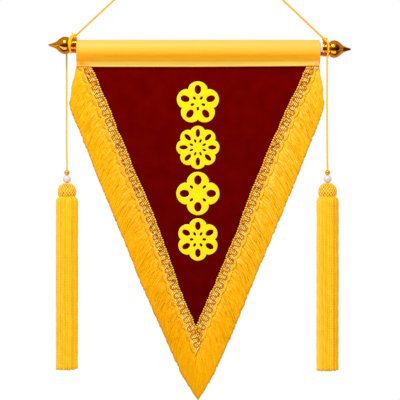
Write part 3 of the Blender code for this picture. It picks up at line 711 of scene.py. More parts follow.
def velvet_look(name):
    """Short dense pile: deep red that varies softly, with painted shade that darkens it downwards, no gloss
    but a dull sheen.
    """
    look, tree, shader = new_look(name)
    soft = grain(tree, own_place(tree), 60.0, 6.0)
    red = graded(tree, soft, ((0.35, (0.108, 0.0002, 0.0002)), (0.68, (0.134, 0.0008, 0.0005))))
    # Painted shade: the red darker towards the bottom
    painted_shade_down = ranged(tree, parted(tree, own_place(tree))["Z"], (-0.44, -0.18), (0.76, 1.0))
    feed(tree, shader, {
        "Base Color": scaled(tree, red, painted_shade_down),
        "Normal": bumped(tree, grain(tree, own_place(tree), 2600.0), 0.5, 0.0003),
        "Roughness": 0.95,
        "Specular IOR Level": 0.0,
        "Sheen Weight": 0.05,
        "Sheen Roughness": 0.5,
        "Sheen Tint": (1.0, 0.05, 0.03, 1.0),
    })
    return look


FIELD_TOP = -0.1652
FIELD_BOTTOM = -0.4850
EDGE_TIP = (-0.0014, -0.4926)
INSET = -0.0028
VELVET = 0.0015
SAG, SAG_LENGTH = 0.00012, 0.03
edges = {side: Edge(side) for side in SIDES}
heights = np.linspace(FIELD_TOP, FIELD_BOTTOM, 110)
left = edges["left"].point(edges["left"].at_height(INSET, heights), INSET)
right = edges["right"].point(edges["right"].at_height(INSET, heights), INSET)
share = np.linspace(0, 1, 81)
x = left[:, :1] + share[None, :] * (right[:, :1] - left[:, :1])
z = np.broadcast_to(heights[:, None], x.shape)
sag = SAG * ripple(x, z, 11, SAG_LENGTH)
front = np.stack([x, -VELVET / 2 + sag, z], axis=-1)
back = np.stack([x, VELVET / 2 + sag, z], axis=-1)
field = sheet_object("velvet_field", front, back, velvet_look("red_velvet_pile"))
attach(field, "root")
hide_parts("field")


# Rosettes: four ornaments of yellow satin over a thin pad, cut through with rings of oval holes.
# Each is one flat cloth with rounded edges, glued or sewn on the velvet.
def rosette_outlines(radius, lobes, depth, rings):
    """A lobed outline and its rings of pointed oval holes, in the plane.

    radius * (1 - depth * (1 - |cos(lobes * angle / 2)| ** 0.7)) is the outline. A ring is its count of
    holes, their place, half length and half width as shares of the radius, and its turn in holes.
    """
    turn = 2 * np.pi * np.arange(lobes * 24) / (lobes * 24)
    swell = np.abs(np.cos(lobes * turn / 2)) ** 0.7
    reach = radius * (1 - depth * (1 - swell))
    outlines = [np.stack([reach * np.sin(turn), reach * np.cos(turn)], axis=1)]
    way = 2 * np.pi * np.arange(24) / 24
    for count, place, half_length, half_width, share in rings:
        along = radius * (place + half_length * np.cos(way))
        across = radius * half_width * np.sin(way)
        for angle in 2 * np.pi * (np.arange(count) + share) / count:
            outlines.append(np.stack([along * np.sin(angle) + across * np.cos(angle),
                                      along * np.cos(angle) - across * np.sin(angle)], axis=1))
    return outlines


def padded_mesh(name, outlines, rounding):
    """A flat cloth between outlines, its edges rounded: a filled 2D curve, bevelled and welded."""
    curve = bpy.data.curves.new(name, "CURVE")
    curve.dimensions = "2D"
    curve.fill_mode = "BOTH"
    curve.extrude = 0.00002
    curve.bevel_depth = rounding
    curve.bevel_resolution = 3
    curve.offset = -rounding
    for outline in outlines:
        spline = curve.splines.new("POLY")
        spline.points.add(len(outline) - 1)
        places = np.column_stack([outline, np.zeros(len(outline)), np.ones(len(outline))])
        spline.points.foreach_set("co", places.ravel())
        spline.use_cyclic_u = True
    maker = bpy.data.objects.new("maker", curve)
    bpy.context.collection.objects.link(maker)
    bpy.context.view_layer.update()
    mesh = bpy.data.meshes.new_from_object(maker.evaluated_get(bpy.context.evaluated_depsgraph_get()))
    bpy.data.objects.remove(maker)
    mesh.materials.clear()
    welded = bmesh.new()
    welded.from_mesh(mesh)
    bmesh.ops.remove_doubles(welded, verts=welded.verts, dist=0.000002)
    bmesh.ops.recalc_face_normals(welded, faces=welded.faces)
    welded.to_mesh(mesh)
    welded.free()
    return mesh


def read_points(mesh, what):
    """One vector of each point of a mesh, its "co" or its "normal", as rows of three."""
    values = np.empty(len(mesh.vertices) * 3)
    mesh.vertices.foreach_get(what, values)
    return values.reshape(-1, 3)


ROSETTES = (  # height, radius, lobes, depth of the lobes, rings of holes
    (-0.2129, 0.0240, 5, 0.24, ((5, 0.62, 0.21, 0.15, 0.0), (5, 0.27, 0.09, 0.06, 0.5))),
    (-0.2623, 0.0240, 8, 0.15, ((8, 0.66, 0.19, 0.10, 0.0), (8, 0.32, 0.09, 0.05, 0.5))),
    (-0.3134, 0.0240, 4, 0.30, ((4, 0.62, 0.22, 0.17, 0.0), (4, 0.42, 0.10, 0.06, 0.5))),
    (-0.3644, 0.0235, 6, 0.20, ((6, 0.64, 0.20, 0.13, 0.0), (6, 0.30, 0.09, 0.06, 0.5))),
)
ROSETTE_X = -0.0006
ROSETTE_Y = -0.00155
ROSETTE_ROUND = 0.0005
# The yellow satin with painted light and shade: orange where it faces down and right, cream where it faces up
# and left
ROSETTE_SHADING_STOPS = (
    (0.0, (0.80, 0.30, 0.0)), (0.38, (0.98, 0.66, 0.0)),
    (0.62, (1.0, 0.70, 0.001)), (0.88, (1.0, 0.88, 0.30)),
)
rosette_satin = satin_look("yellow_satin", 0.30)
for number, (z, radius, lobes, depth, rings) in enumerate(ROSETTES, start=1):
    mesh = padded_mesh(f"outline_{number}", rosette_outlines(radius, lobes, depth, rings), ROSETTE_ROUND)
    flat = read_points(mesh, "co")
    hung = np.column_stack([flat[:, 0] + ROSETTE_X, ROSETTE_Y - flat[:, 2], flat[:, 1] + z])
    mesh.vertices.foreach_set("co", hung.ravel())
    mesh.shade_smooth()
    normals = read_points(mesh, "normal")
    # Painted light and shade by the way each point faces
    light_to_upper_left = 0.5 - 0.42 * normals[:, 0] + 0.28 * normals[:, 2]
    set_marks(mesh, tones(light_to_upper_left, ROSETTE_SHADING_STOPS))
    rosette = add_piece(f"rosette_{number}", mesh, rosette_satin)
    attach(rosette, "root")
    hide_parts(f"ornament_{number}")


# Fringe: rayon yarn cut to one length and sewn side by side to a narrow tape, which lies under the braid.
# The yarns spring out from the braid, then bend down and hang in soft waves. Every second one lies on
# the tape's back, and thicker, shorter ones behind them close the sight between them.
def fringe_look(name, lift):
    """Rayon yarn: light and deep streaks that run along each yarn, with painted light near the braid and
    painted shade towards the field's point.

    The mark is (how far down the yarn, how far along the fringe, a number of the yarn's own).
    """
    look, tree, shader = new_look(name)
    mark = weave_mark(tree)
    down, along = parted(tree, mark)["X"], parted(tree, mark)["Y"]
    streaks = calculated(tree, "SUBTRACT", grain(tree, mark, 1.0), 0.5)
    # Painted light: stronger streaks and a lighter yarn near the braid; painted shade: darker towards the
    # field's point
    gain = ranged(tree, down, (0.0, 0.45 * STREAKS_DOWN), (1.7, 1.0))
    painted_light_down = ranged(tree, down, (0.0, STREAKS_DOWN), (0.60 + lift, 0.44 + lift))
    painted_shade_to_point = ranged(tree, along, (0.5 * STREAKS_ALONG, STREAKS_ALONG), (0.0, -0.17))
    tone = calculated(tree, "ADD", calculated(tree, "MULTIPLY_ADD", streaks, gain, painted_light_down), painted_shade_to_point)
    feed(tree, shader, {
        "Base Color": graded(tree, tone, FRINGE_STOPS),
        "Roughness": 0.6,
        "Specular IOR Level": 0.04,
    })
    return look


def tubes(lines, radii, sides):
    """Grids (count, rows, sides, 3) round many lines (count, rows, 3) that lie near a plane of equal Y."""
    along = np.gradient(lines, axis=1)
    along /= np.linalg.norm(along, axis=2, keepdims=True)
    side = np.cross(along, (0.0, 1.0, 0.0))
    side /= np.linalg.norm(side, axis=2, keepdims=True)
    other = np.cross(along, side)
    angle = 2 * np.pi * np.arange(sides) / sides
    ring = np.cos(angle)[:, None] * side[:, :, None] + np.sin(angle)[:, None] * other[:, :, None]
    return lines[:, :, None] + radii[..., None, None] * ring


def braid_shift(side, s):
    """How far the braid lies out of its straight line at a place along the edge."""
    path = np.array(BRAID_PATH[side]) / 1000
    return np.interp(s, 0.010 + 0.020 * np.arange(len(path)), path)


def dense_shares(count, chance):
    """Shares from 0 to 1, closer together near both ends, where the yarns fan out."""
    fine = np.linspace(0, 1, 2001)
    weight = 1 + 0.8 * band(fine, 0.0, 0.07) + 2.2 * rise(fine, 0.85, 0.15) ** 1.5
    total = np.concatenate([[0], np.cumsum((weight[1:] + weight[:-1]) / 2)])
    goals = (np.arange(count) + chance.uniform(0.0, 1.0, count)) / count
    return np.interp(goals * total[-1], total, fine)


def wander(share, count, chance, low, high):
    """A value that changes smoothly and at random along the shares, count times."""
    return np.interp(share * count, np.arange(count + 2), chance.uniform(low, high, count + 2))[:, None]


def bent(start, bend, end, w):
    """A quadratic curve from start to end, drawn towards the bend, at the shares w of each row."""
    return (1 - w) ** 2 * start[:, None] + 2 * w * (1 - w) * bend[:, None] + w * w * end[:, None]


def hung_strip(name, side, spot, front_y, thick, look):
    """A strip of cloth from a grid of places (X, Z), its rows down the edge, its columns outwards."""
    front = np.stack([spot[..., 0], np.full(spot.shape[:2], front_y), spot[..., 1]], axis=-1)
    back = front + np.array((0.0, thick, 0.0))
    if side == "left":
        front, back = front[:, ::-1], back[:, ::-1]
    return sheet_object(name, front, back, look)


TAPE = 0.0010
TAPE_MIDDLE_Y = -0.00155
TAPE_INNER = -0.0085
TAPE_OUTER = -0.0003
TAPE_FLARE = {"left": 0.0028, "right": 0.0008}
TAPE_FLARE_LENGTH = 0.020
TAPE_RISE = {"left": 0.0, "right": 0.0014}
FRINGE_HANG = np.array((  # share of the edge, how far out the left and the right yarns end, how far down
    (0.00, 0.0070, 0.0056, 0.0330),
    (0.03, 0.0147, 0.0116, 0.0314),
    (0.06, 0.0178, 0.0144, 0.0302),
    (0.12, 0.0176, 0.0158, 0.0300),
    (0.18, 0.0177, 0.0158, 0.0300),
    (0.30, 0.0181, 0.0168, 0.0300),
    (0.70, 0.0181, 0.0166, 0.0300),
    (0.85, 0.0152, 0.0162, 0.0320),
    (0.94, 0.0105, 0.0112, 0.0400),
    (0.97, 0.0052, 0.0066, 0.0455),
    (0.985, 0.0022, 0.0038, 0.0487),
    (1.00, -0.0012, 0.0004, 0.0514),
))
YARNS = 1280
YARN_RADIUS = 0.00050
YARN_ROWS = 16
YARN_ROOT = -0.0016
YARN_DEPTH = 0.00062
YARN_REACH, RAGGED = 0.985, 0.014  # share of the full length, and its unevenness at the point
BEND_OUT, BEND_OUT_LESS, BEND_DOWN = 0.55, 0.27, 0.30  # where a yarn bends, as shares of spread and fall
UNEVEN = 0.0006
WAVES = ((1.0, 1.6, 1.0), (0.5, 3.4, 2.3))  # height, waves in a yarn, share of its own phase
WAVE_HEIGHT = 0.00034
IN_AND_OUT = 0.0002
YARN_SCATTER = 0.12
YARN_SIZES = (0.8, 1.2)
THINNER_END = 0.45
BACK_YARN_LIFT = 0.0026
BEHIND_HEM = 0.0019
UNDER_EACH, UNDER_DEPTH, UNDER_THICK = 3, 0.0009, 2.3
BRAID_PATH = {  # millimetres out of its straight line, each 20 mm down the edge
    "left": (1.2, 1.1, 0.7, 0.5, 1.3, 0.1, 1.1, 0.4, -0.1, -0.3, 0.3, 1.3, 1.9, 3.3, 3.8, 3.4, 3.4),
    "right": (1.8, 2.7, 1.1, 0.2, 0.0, -1.1, -0.7, -0.8, -0.4, 0.2, 1.8, 1.3, 1.5, 1.5, 0.5, 0.6, 0.6),
}
BRAID_TOP_Z = FLANGE_LOW + 0.0007
MIDDLE_X = EDGE_TIP[0]
STREAKS_DOWN = 5.0
STREAKS_ALONG = 500.0
FRINGE_LIFT = {"left": 0.0, "right": 0.08}
FRINGE_STOPS = (
    (0.28, (0.78, 0.35, 0.0)), (0.50, (0.91, 0.427, 0.0)),
    (0.74, (1.0, 0.57, 0.030)), (0.88, (1.0, 0.70, 0.15)),
)
tape_look = yarn_look("tape_yarn", (1.0, 0.44, 0.01), (0.80, 0.30, 0.003), 500.0)
for side, sign in SIDES.items():
    edge = edges[side]
    chance = np.random.default_rng(21 if side == "left" else 22)
    first = {n: edge.at_height(n, BRAID_TOP_Z) for n in (TAPE_INNER, 0.0)}
    last = {n: (MIDDLE_X - edge.point(0.0, n)[0]) / edge.along[0] for n in (TAPE_INNER, 0.0)}

    # Where each yarn starts under the braid, bends and ends
    share = dense_shares(YARNS, chance)
    s = first[0.0] + share * (last[0.0] - first[0.0])
    layer = np.where(np.arange(YARNS) % 2, 1.0, -1.0)
    flare = rise(s, first[0.0] + TAPE_FLARE_LENGTH, -TAPE_FLARE_LENGTH) ** 2
    start = edge.point(s, YARN_ROOT + braid_shift(side, s))
    start += np.where(layer > 0, flare, 0.0)[:, None] * (sign * 0.8 * TAPE_FLARE[side], BACK_YARN_LIFT)
    root = edge.point(s, 0.0)
    root[:, 0] += sign * TAPE_FLARE[side] * flare
    spread = sign * np.interp(share, FRINGE_HANG[:, 0], FRINGE_HANG[:, 1 if side == "left" else 2])
    fall = np.interp(share, FRINGE_HANG[:, 0], FRINGE_HANG[:, 3])
    ragged = RAGGED * rise(share, 1.0, -0.04)
    reach = YARN_REACH + ragged * (wander(share, 150, chance, -1, 1)[:, 0] + chance.uniform(-1.0, 0.6, YARNS))
    bend_share = BEND_OUT - BEND_OUT_LESS * rise(share, 0.06, -0.06)
    bend_x = root[:, 0] + bend_share * spread + UNEVEN * chance.normal(0, 1, YARNS)
    bend_z = root[:, 1] - BEND_DOWN * fall + UNEVEN * chance.normal(0, 1, YARNS)
    w = reach[:, None] * np.linspace(0.0, 1.0, YARN_ROWS)
    x = bent(start[:, 0], bend_x, root[:, 0] + spread, w)
    z = bent(start[:, 1], bend_z, root[:, 1] - fall, w)

    # Waves across each yarn, and its depth: before or behind the tape, and behind the hem above it
    phase = wander(share, 90, chance, 0, 2 * np.pi)
    wave = sum(height * np.sin(2 * np.pi * w * count + turned * phase) for height, count, turned in WAVES)
    wave *= WAVE_HEIGHT * np.clip(4 * w, 0, 1) * wander(share, 60, chance, 0.4, 1.2)
    deep = (layer + YARN_SCATTER * chance.uniform(-1, 1, YARNS))[:, None]
    behind_hem = BEHIND_HEM * rise(z, FLANGE_LOW, 0.0008) * (deep < 0)
    in_and_out = IN_AND_OUT * np.clip(2 * w, 0, 1) * np.sin(7 * w + 2 * phase)
    y = TAPE_MIDDLE_Y + YARN_DEPTH * deep + in_and_out + behind_hem
    lines = np.stack([x + wave * sign, y, z + 0.5 * wave], axis=-1)
    taper = 1 - THINNER_END * rise(np.linspace(0, 1, YARN_ROWS), 0.85, 0.15) ** 2
    radii = YARN_RADIUS * taper * chance.uniform(*YARN_SIZES, YARNS)[:, None]
    along = np.broadcast_to(share[:, None] * STREAKS_ALONG, w.shape)
    own = np.broadcast_to(chance.uniform(0, 0.6, YARNS)[:, None], w.shape)
    mark = np.stack([w * STREAKS_DOWN, along, own], axis=-1)

    # The layer behind: every third yarn again, thicker, with half the rows and a shorter end. It reads its
    # colour as if nearer the braid: painted light on yarns that lie in shade.
    pick = np.arange(1, YARNS, UNDER_EACH)
    under = lines[pick][:, ::2] + np.array((0.0, UNDER_DEPTH, 0.0))
    under[:, -1] = 0.3 * under[:, -1] + 0.7 * under[:, -2]
    grids = [tubes(lines, radii, 4), tubes(under, UNDER_THICK * radii[pick][:, ::2], 4)]
    # A third of the way down in the mark: the painted light near the braid lightens the layer behind
    marks = [mark[:, :, None], mark[pick][:, ::2, None] * (0.3, 1.0, 1.0)]
    fringe = mesh_object(f"yarns_{side}", grids, fringe_look(f"fringe_yarn_{side}", FRINGE_LIFT[side]), marks)
    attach(fringe, "root")

    # The tape, from under the braid's middle to its outer edge, down to the field's point
    t = np.linspace(0, 1, 160)[:, None]
    lane = np.linspace(0, 1, 7)[None, :]
    inner_s = first[TAPE_INNER] + t * (last[TAPE_INNER] - first[TAPE_INNER])
    end_n = TAPE_OUTER + max(braid_shift(side, last[0.0]), 0.0)
    outer_end = (MIDDLE_X - edge.point(0.0, end_n)[0]) / edge.along[0]
    outer_s = first[0.0] + t * (outer_end - first[0.0])
    outer_n = TAPE_OUTER + np.maximum(braid_shift(side, outer_s), 0.0)
    outer_s = outer_s - TAPE_RISE[side] * rise(t, 0.01, -0.01)
    spot = edge.point(inner_s + lane * (outer_s - inner_s), TAPE_INNER + lane * (outer_n - TAPE_INNER))
    flare = rise(outer_s, first[0.0] + TAPE_FLARE_LENGTH, -TAPE_FLARE_LENGTH) ** 2
    spot[..., 0] += sign * TAPE_FLARE[side] * flare * lane
    tape = hung_strip(f"tape_{side}", side, spot, TAPE_MIDDLE_Y - TAPE / 2, TAPE, tape_look)
    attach(tape, "root")
    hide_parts(f"fringe_{side}")


# Braid: a narrow gimp of gold cords, sewn down over the field's edge and the fringe's tape.
# From the velvet outwards it has small picots, five lanes of floats under a cord that is looped to and
# fro, and a scalloped band of four cords with a thin line beside it. All lie on a brown ground.
def thread_look(name, stretch, scale, light, bump, roughness, gloss):
    """Yarn in the colour of its mark, made lighter and darker by a grain stretched in X, Y and Z."""
    look, tree, shader = new_look(name)
    stretched = add_node(tree, "ShaderNodeVectorMath", {0: own_place(tree), 1: stretch}, operation="MULTIPLY")
    streaks = grain(tree, stretched.outputs["Vector"], scale)
    feed(tree, shader, {
        "Base Color": scaled(tree, weave_mark(tree), ranged(tree, streaks, (0.3, 0.7), light)),
        "Normal": bumped(tree, streaks, bump, 0.0002),
        "Roughness": roughness,
        "Specular IOR Level": gloss,
    })
    return look


def crossing(edge, n, other, other_n):
    """How far along lane n of an edge meets lane other_n of the other edge."""
    start = edge.top + np.asarray(n)[..., None] * edge.out - other.top
    return (other_n - start @ other.out) / (edge.along @ other.out)


BRAID_WIDTH = 0.0133
BRAID_EDGE = -0.0006
BRAID_BACK_Y = -0.00235
BRAID_GROUND = 0.0005
BRAID_LEAD = 0.0088
BRAID_LENGTH = 0.380
BRAID_RISE = {"left": 0.0, "right": 0.0005}
OVERLAP = 0.0031
GROUND_LANES = (-0.0125, -0.0022)
GROUND_SHORT = 0.0030
PICOT = 0.0027
PICOT_LANE, PICOT_Y, PICOT_RADIUS, PICOT_OUT = -0.0119, -0.0034, 0.00042, 0.0018
PICOT_LEAN, PICOT_STAND, PICOT_SWELL = 0.0005, 0.0005, 0.00034
FLOAT = 0.0023
FLOAT_LANES = (-0.0046, -0.0062, -0.0078, -0.0094, -0.0110)
FLOAT_CHANCES = (0.56, 0.22, 0.16, 0.06)
FLOAT_Y, FLOAT_RADIUS, FLOAT_SWELL = -0.0028, 0.00042, 0.00040
FLOAT_SHIFT, FLOAT_SLANT, FLOAT_STAND = 0.00030, 0.00045, 0.0009
RUN = 0.0099
RUN_LANE, RUN_HALF_WIDTH, RUN_Y, RUN_RADIUS = -0.0078, 0.0037, -0.0042, 0.00046
RUN_LEAN, RUN_DRIFT, RUN_DRIFT_LENGTH = 0.0006, 0.35, 0.037
SCALLOP = 0.01405
BAND_LANE, BAND_Y, BAND_RADIUS = -0.0038, -0.0034, 0.00060
BAND_STEP, BAND_STEP_Y = 0.0004, 0.00013
SWING_FIRST, SWING_STEP = 0.1, 0.28  # share of the swing for the first cord, and more for each next one
LINE_LANE, LINE_Y, LINE_RADIUS = -0.0022, -0.0030, 0.00034
TUCK, TUCK_HEIGHT = 0.0012, 0.0014
SWING = {"left": 0.0025, "right": 0.0017}
SCALLOP_SHAPE = np.array((
    (0.00, 0.00), (0.12, 0.30), (0.28, 0.60), (0.44, 0.85), (0.58, 0.98),
    (0.70, 1.00), (0.81, 0.92), (0.90, 0.70), (0.96, 0.36), (1.00, 0.00),
))
CREAM = (1.0, 0.86, 0.20)
BUTTER = (1.0, 0.66, 0.05)
PALE = (0.88, 0.49, 0.045)
YELLOW = (0.92, 0.44, 0.009)
BRIGHT = (0.98, 0.66, 0.018)
RUST = (0.58, 0.072, 0.001)
ORANGE = (1.0, 0.42, 0.008)
PLUM = (0.18, 0.014, 0.028)
BROWN = (0.58, 0.14, 0.002)
CALM_BROWN = (0.86, 0.36, 0.02)
CALM_BELOW = {"left": 0.27, "right": 0.19}
FLOAT_COLOURS = np.array((CREAM, BUTTER, ORANGE, PLUM))
FLOAT_SHADE = {"left": 0.92, "right": 1.0}
OUTER = {"left": YELLOW, "right": (0.98, 0.58, 0.012)}
LINE_COLOUR = {"left": (0.64, 0.27, 0.0), "right": (0.66, 0.39, 0.0)}
FOLD = (1.0, 0.62, 0.12)
FOLD_LOW = -0.1752
FOLD_SHARE = {"left": 0.5, "right": 0.9}


def braid_cords(reach, side):
    """The cords of a braid as (places along, lanes out, depths, radii, colours), reach metres long.

    A picot and a float swell with 0.5 + 0.5 * cos(turn), and the looped cord swings with tanh(sin(turn)).
    """
    chance = np.random.default_rng(31)

    # Picots, rust where the cord dips between them and butter at their tips: painted shade between the picots
    turn = 2 * np.pi * np.arange(0, reach / PICOT, 1 / 8)
    bump = 0.5 + 0.5 * np.cos(turn)
    size = np.repeat(chance.uniform(0.5, 1.2, len(turn) // 8 + 1), 8)[:len(turn)]
    yield (PICOT * turn / (2 * np.pi) + PICOT_LEAN * bump, PICOT_LANE - PICOT_OUT * bump * size,
           PICOT_Y - PICOT_STAND * bump, PICOT_RADIUS + PICOT_SWELL * bump,
           toward(RUST, BUTTER, 1.7 * bump - 0.35))

    # Floats, with a plum one here and there in the upper part. Each turns brown where it dips between its
    # neighbours: painted shade in the gaps, lighter in the calm part near the point.
    count = int(reach / FLOAT)
    turn = 2 * np.pi * np.arange(0, count, 1 / 6)
    bump = 0.5 + 0.5 * np.cos(turn)
    for number, lane in enumerate(FLOAT_LANES):
        shift = FLOAT_SHIFT * np.repeat(chance.uniform(-1, 1, count), 6)
        along = FLOAT * (turn / (2 * np.pi) + 0.5 * (number % 2)) + shift
        size = np.repeat(chance.uniform(0.7, 1.2, count), 6)
        calm = rise(along, CALM_BELOW[side], 0.04)
        pick = np.repeat(chance.choice(4, count, p=FLOAT_CHANCES), 6)
        thread = FLOAT_COLOURS[np.where((pick == 3) & (calm > chance.uniform(0, 1)), 0, pick)]
        colour = toward(toward(BROWN, CALM_BROWN, calm), thread, 1.9 * bump - 0.3)
        shade = FLOAT_SHADE[side] * (1 - calm) + calm
        yield (along, lane + FLOAT_SLANT * np.sin(turn), FLOAT_Y - FLOAT_STAND * bump,
               FLOAT_RADIUS + FLOAT_SWELL * bump * size, shade[:, None] * colour)

    # The cord looped to and fro
    s = np.arange(0, reach, RUN / 18)
    turn = 2 * np.pi * s / RUN + RUN_DRIFT * np.sin(2 * np.pi * s / RUN_DRIFT_LENGTH)
    yield (s - RUN_LEAN * np.sin(2 * turn), RUN_LANE - RUN_HALF_WIDTH * np.tanh(2 * np.sin(turn)),
           np.full(len(s), RUN_Y), np.full(len(s), RUN_RADIUS), np.tile(RUST, (len(s), 1)))

    # The scalloped band of four cords, and the thin line beside it
    s = np.arange(0, reach, SCALLOP / 14)
    within = (s / SCALLOP) % 1
    arc = np.interp(within, SCALLOP_SHAPE[:, 0], SCALLOP_SHAPE[:, 1])
    for number, colour in enumerate((PALE, PALE, OUTER[side], OUTER[side])):
        worn = np.repeat(chance.uniform(0.86, 1.08, len(s) // 2 + 1), 2)[:len(s)]
        swing = (SWING_FIRST + SWING_STEP * number) * SWING[side] * arc
        yield (s, BAND_LANE + BAND_STEP * number + swing, np.full(len(s), BAND_Y + BAND_STEP_Y * number),
               BAND_RADIUS + 0.00010 * worn, worn[:, None] * toward(BRIGHT, colour, 5 * arc))
    falling = np.clip(3.5 * within - 0.6, 0, 1) * np.clip(4 * arc, 0, 1)
    yield (s, LINE_LANE + (0.0001 + SWING[side]) * arc, np.full(len(s), LINE_Y),
           LINE_RADIUS + 0.00012 * falling, toward(OUTER[side], LINE_COLOUR[side], falling))


braid_thread = thread_look("gimp_braid_thread", (1.0, 1.0, 1.0), 700.0, (0.78, 1.10), 0.4, 0.5, 0.05)
ground_yarn = yarn_look("ground_yarn", (0.40, 0.090, 0.004), (0.13, 0.017, 0.008), 700.0)
for side in SIDES:
    edge = edges[side]
    other = edges["right" if side == "left" else "left"]
    stop = -BRAID_WIDTH + OVERLAP if side == "right" else BRAID_EDGE
    grids, marks = [], []
    for s, n, y, radius, colour in braid_cords(BRAID_LENGTH, side):
        s = s + edge.at_height(0.0, BRAID_TOP_Z) - BRAID_LEAD
        n = n + braid_shift(side, s)

        # Each stretch of the cord between the hem and the other braid, tucked in under the hem
        keep = s > edge.at_height(n, BRAID_TOP_Z + BRAID_RISE[side] - radius)
        keep &= s < crossing(edge, n, other, stop - radius)
        starts = np.flatnonzero(np.diff(np.concatenate([[0], keep.astype(int), [0]])))
        for a, b in zip(starts[::2], starts[1::2]):
            if b - a >= 3:
                x, z = edge.point(s[a:b], n[a:b]).T
                tuck = TUCK * rise(z, FLANGE_LOW - TUCK_HEIGHT, TUCK_HEIGHT)
                line = np.stack([x, y[a:b] + tuck, z], axis=-1)
                grids.append(tubes(line[None], radius[None, a:b], 6))
                tinted = toward(colour[a:b], FOLD, FOLD_SHARE[side] * rise(z, FOLD_LOW, 0.0006))
                marks.append(toward(tinted, RUST, FOLD_SHARE[side] * band(z, FOLD_LOW, 0.00045))[:, None])
    braid = mesh_object(f"braid_cords_{side}", grids, braid_thread, marks)
    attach(braid, "root")

    # The ground, from the hem to the other braid
    t = np.linspace(0, 1, 180)[:, None]
    n = np.broadcast_to(np.linspace(*GROUND_LANES, 9), (180, 9))
    low = edge.at_height(n, BRAID_TOP_Z)
    s = low + t * (crossing(edge, n, other, stop - GROUND_SHORT) - low)
    spot = edge.point(s, n + braid_shift(side, s))
    ground_y = BRAID_BACK_Y - BRAID_GROUND
    ground = hung_strip(f"braid_ground_{side}", side, spot, ground_y, BRAID_GROUND, ground_yarn)
    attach(ground, "root")
    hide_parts(f"braid_{side}")


# Tassel head: a hard rounded cap under the pearl, which holds the skirt's yarns together.
# It is covered with a close net of knotted gold yarn: bright knots in offset rows, with small dark holes.
def net_look(name):
    """Knotted yarn coloured by the height that the mark gives: painted highlights on the knots, painted shade
    on the orange flanks and in the brown holes.
    """
    look, tree, shader = new_look(name)
    feed(tree, shader, {
        "Base Color": graded(tree, parted(tree, weave_mark(tree))["X"], NET_SHADING_STOPS),
        "Normal": bumped(tree, grain(tree, own_place(tree), 900.0), 0.3, 0.0002),
        "Roughness": 0.5,
        "Specular IOR Level": 0.15,
    })
    return look


HEAD_TOP_Z = -0.3021
HEAD_PROFILE = (  # depth below the top, radius
    (0.0, 0.0), (0.0, 0.0042), (0.0010, 0.0064), (0.0024, 0.0080), (0.0046, 0.0095), (0.0075, 0.0103),
    (0.0105, 0.0105), (0.0130, 0.0099), (0.0148, 0.0087), (0.0152, 0.0070), (0.0152, 0.0),
)
HEAD_ROW_SPACING = 0.00022
KNOTS_ROUND = 18
KNOT_ROWS = 14
POINTS_PER_KNOT = 8
KNOT_HEIGHT = 0.00070
NET_SUNK = 0.0005
NET_DRIFT = 0.25
PLAIN_SHARE, PLAIN_DEPTH, HOLE_DEPTH = 0.50, 0.45, 1.5  # hollows that stay shallow, and the depth of both
# Painted shade in the holes and on the flanks, painted highlights on the knots
NET_SHADING_STOPS = (
    (0.0, (0.46, 0.10, 0.001)), (0.22, (0.74, 0.22, 0.002)), (0.50, (0.98, 0.42, 0.006)),
    (0.76, (1.0, 0.56, 0.03)), (1.0, (1.0, 0.80, 0.16)),
)
knotted = net_look("knotted_net")
steps = KNOTS_ROUND * POINTS_PER_KNOT
line, _ = resampled([(depth, radius, 0.0) for depth, radius in HEAD_PROFILE], HEAD_ROW_SPACING)
depth, radius = line[:, :1], np.maximum(line[:, 1:2], 0.00003)
angle = 2 * np.pi * np.arange(steps) / steps
row = np.linspace(0, KNOT_ROWS, len(line))[:, None]

# The net's height is cos(knots * angle) * cos(pi * row), pushed a little out of its even rows, with about
# half of its hollows deepened to holes
drift = NET_DRIFT * np.sin(3 * angle + 1.3 * row)
net = np.cos(KNOTS_ROUND * angle + drift) * np.cos(np.pi * (row + 0.15 * np.sin(2 * angle)))
cells = np.random.default_rng(5).uniform(0.0, 1.0, (KNOT_ROWS + 2, KNOTS_ROUND))
cell_row = np.round(row).astype(int) % (KNOT_ROWS + 2)
cell_column = np.round(angle * KNOTS_ROUND / (2 * np.pi)).astype(int) % KNOTS_ROUND
hollow = np.where(cells[cell_row, cell_column] > PLAIN_SHARE, HOLE_DEPTH, PLAIN_DEPTH)
height = np.where(net > 0, np.abs(net) ** 0.7, net * hollow)
reach = radius + (KNOT_HEIGHT * height - NET_SUNK) * np.clip(radius / 0.006, 0, 1)
# The colour follows the net's height: painted highlights on the knots, painted shade in the hollows
mark = np.repeat(np.clip(0.50 + 0.50 * height, 0, 1)[..., None], 3, axis=-1)
for side in SIDES:
    x, y = TASSEL_SPOT[side]
    head_z = np.broadcast_to(HEAD_TOP_Z - depth, reach.shape)
    grid = np.stack([x + reach * np.cos(angle), y - reach * np.sin(angle), head_z], axis=-1)
    head = mesh_object(f"net_head_{side}", [grid], knotted, [mark])
    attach(head, "root")
    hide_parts(f"tassel_head_{side}")

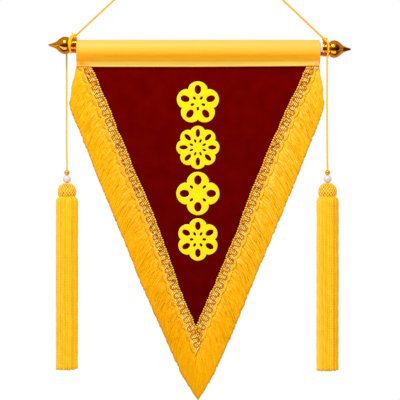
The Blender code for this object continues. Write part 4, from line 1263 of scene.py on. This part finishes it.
# Tassel skirt: long yarns of two twisted plies, bound into the head and cut straight at the bottom.
# They rise over a shoulder below the head and hang side by side in three rings, the outer one closed.
SKIRT_BOTTOM_Z = -0.5092
SKIRT_RINGS = (  # radius of the ring, yarns, radius of a yarn, sides of a yarn
    (0.0110, 33, 0.00152, 8), (0.0085, 18, 0.0014, 5), (0.0054, 8, 0.0014, 4),
)
SKIRT_PITCH = 0.030
SKIRT_PLIES = 2
SKIRT_LOBES = 0.14
STRAIGHT_BELOW = 0.045
STRAIGHT_POINTS = 8
SHOULDER_LIFT = 0.0010  # of the yarns on the right
END_UNEVEN, RIGHT_SHORTER = 0.0005, 0.0012
SWAY = 0.012
SHOULDER = (  # share of the ring's radius, height from the head's top
    (0.50, -0.0152), (0.80, -0.0160), (0.965, -0.0178), (1.0, -0.0208), (1.0, -0.0262),
)
# Painted light: the paler colour of strands on the left, and the green that lightens those on the right
LIT_STRAND = (0.92, 0.59, 0.045)
STRANDS = ((0.97, 0.54, 0.017), (0.97, 0.47, 0.006), (0.97, 0.36, 0.001))
STRAND_CHANCES = (0.40, 0.38, 0.22)
RIGHT_GLOW = np.array((0.0, 0.055, 0.008))
skirt_yarn = thread_look("skirt_yarn", (1.0, 1.0, 0.02), 1100.0, (0.84, 1.14), 0.3, 0.6, 0.04)
for side in SIDES:
    x, y = TASSEL_SPOT[side]
    chance = np.random.default_rng(8)
    grids, marks = [], []
    for ring_radius, count, radius, sides in SKIRT_RINGS:
        for index in range(count):
            turn = 2 * np.pi * (index + 0.15 * chance.uniform(-1, 1)) / count
            to_right = np.cos(turn)
            uneven = END_UNEVEN * np.sin(2.4 * index + 90 * ring_radius)
            bottom = SKIRT_BOTTOM_Z + uneven + RIGHT_SHORTER * max(0, to_right) ** 4
            lift = SHOULDER_LIFT * band(to_right, 0.8, 0.12)
            heights = np.linspace(HEAD_TOP_Z - STRAIGHT_BELOW, bottom, STRAIGHT_POINTS)
            places = [(share * ring_radius, HEAD_TOP_Z + drop + lift) for share, drop in SHOULDER]
            places += [(ring_radius + chance.uniform(-0.0003, 0.0001), z) for z in heights]
            sway = turn + np.concatenate([[0] * len(SHOULDER), chance.normal(0, SWAY, STRAIGHT_POINTS)])
            route = [(x + r * np.cos(a), y - r * np.sin(a), z) for (r, z), a in zip(places, sway)]
            grids.append(twisted(route, radius, SKIRT_PITCH, SKIRT_PLIES, SKIRT_LOBES, sides, 10)[0])
            strand = STRANDS[chance.choice(3, p=STRAND_CHANCES)]
            # Painted light: strands on the left turn paler, and those on the right are lightened against
            # their shade
            own = toward(strand, LIT_STRAND, -1.6 * to_right - 0.5)
            marks.append(own + rise(to_right, 0.35, 0.25) * RIGHT_GLOW)
    skirt = mesh_object(f"skirt_yarns_{side}", grids, skirt_yarn, marks)
    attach(skirt, "root")
    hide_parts(f"tassel_skirt_{side}")
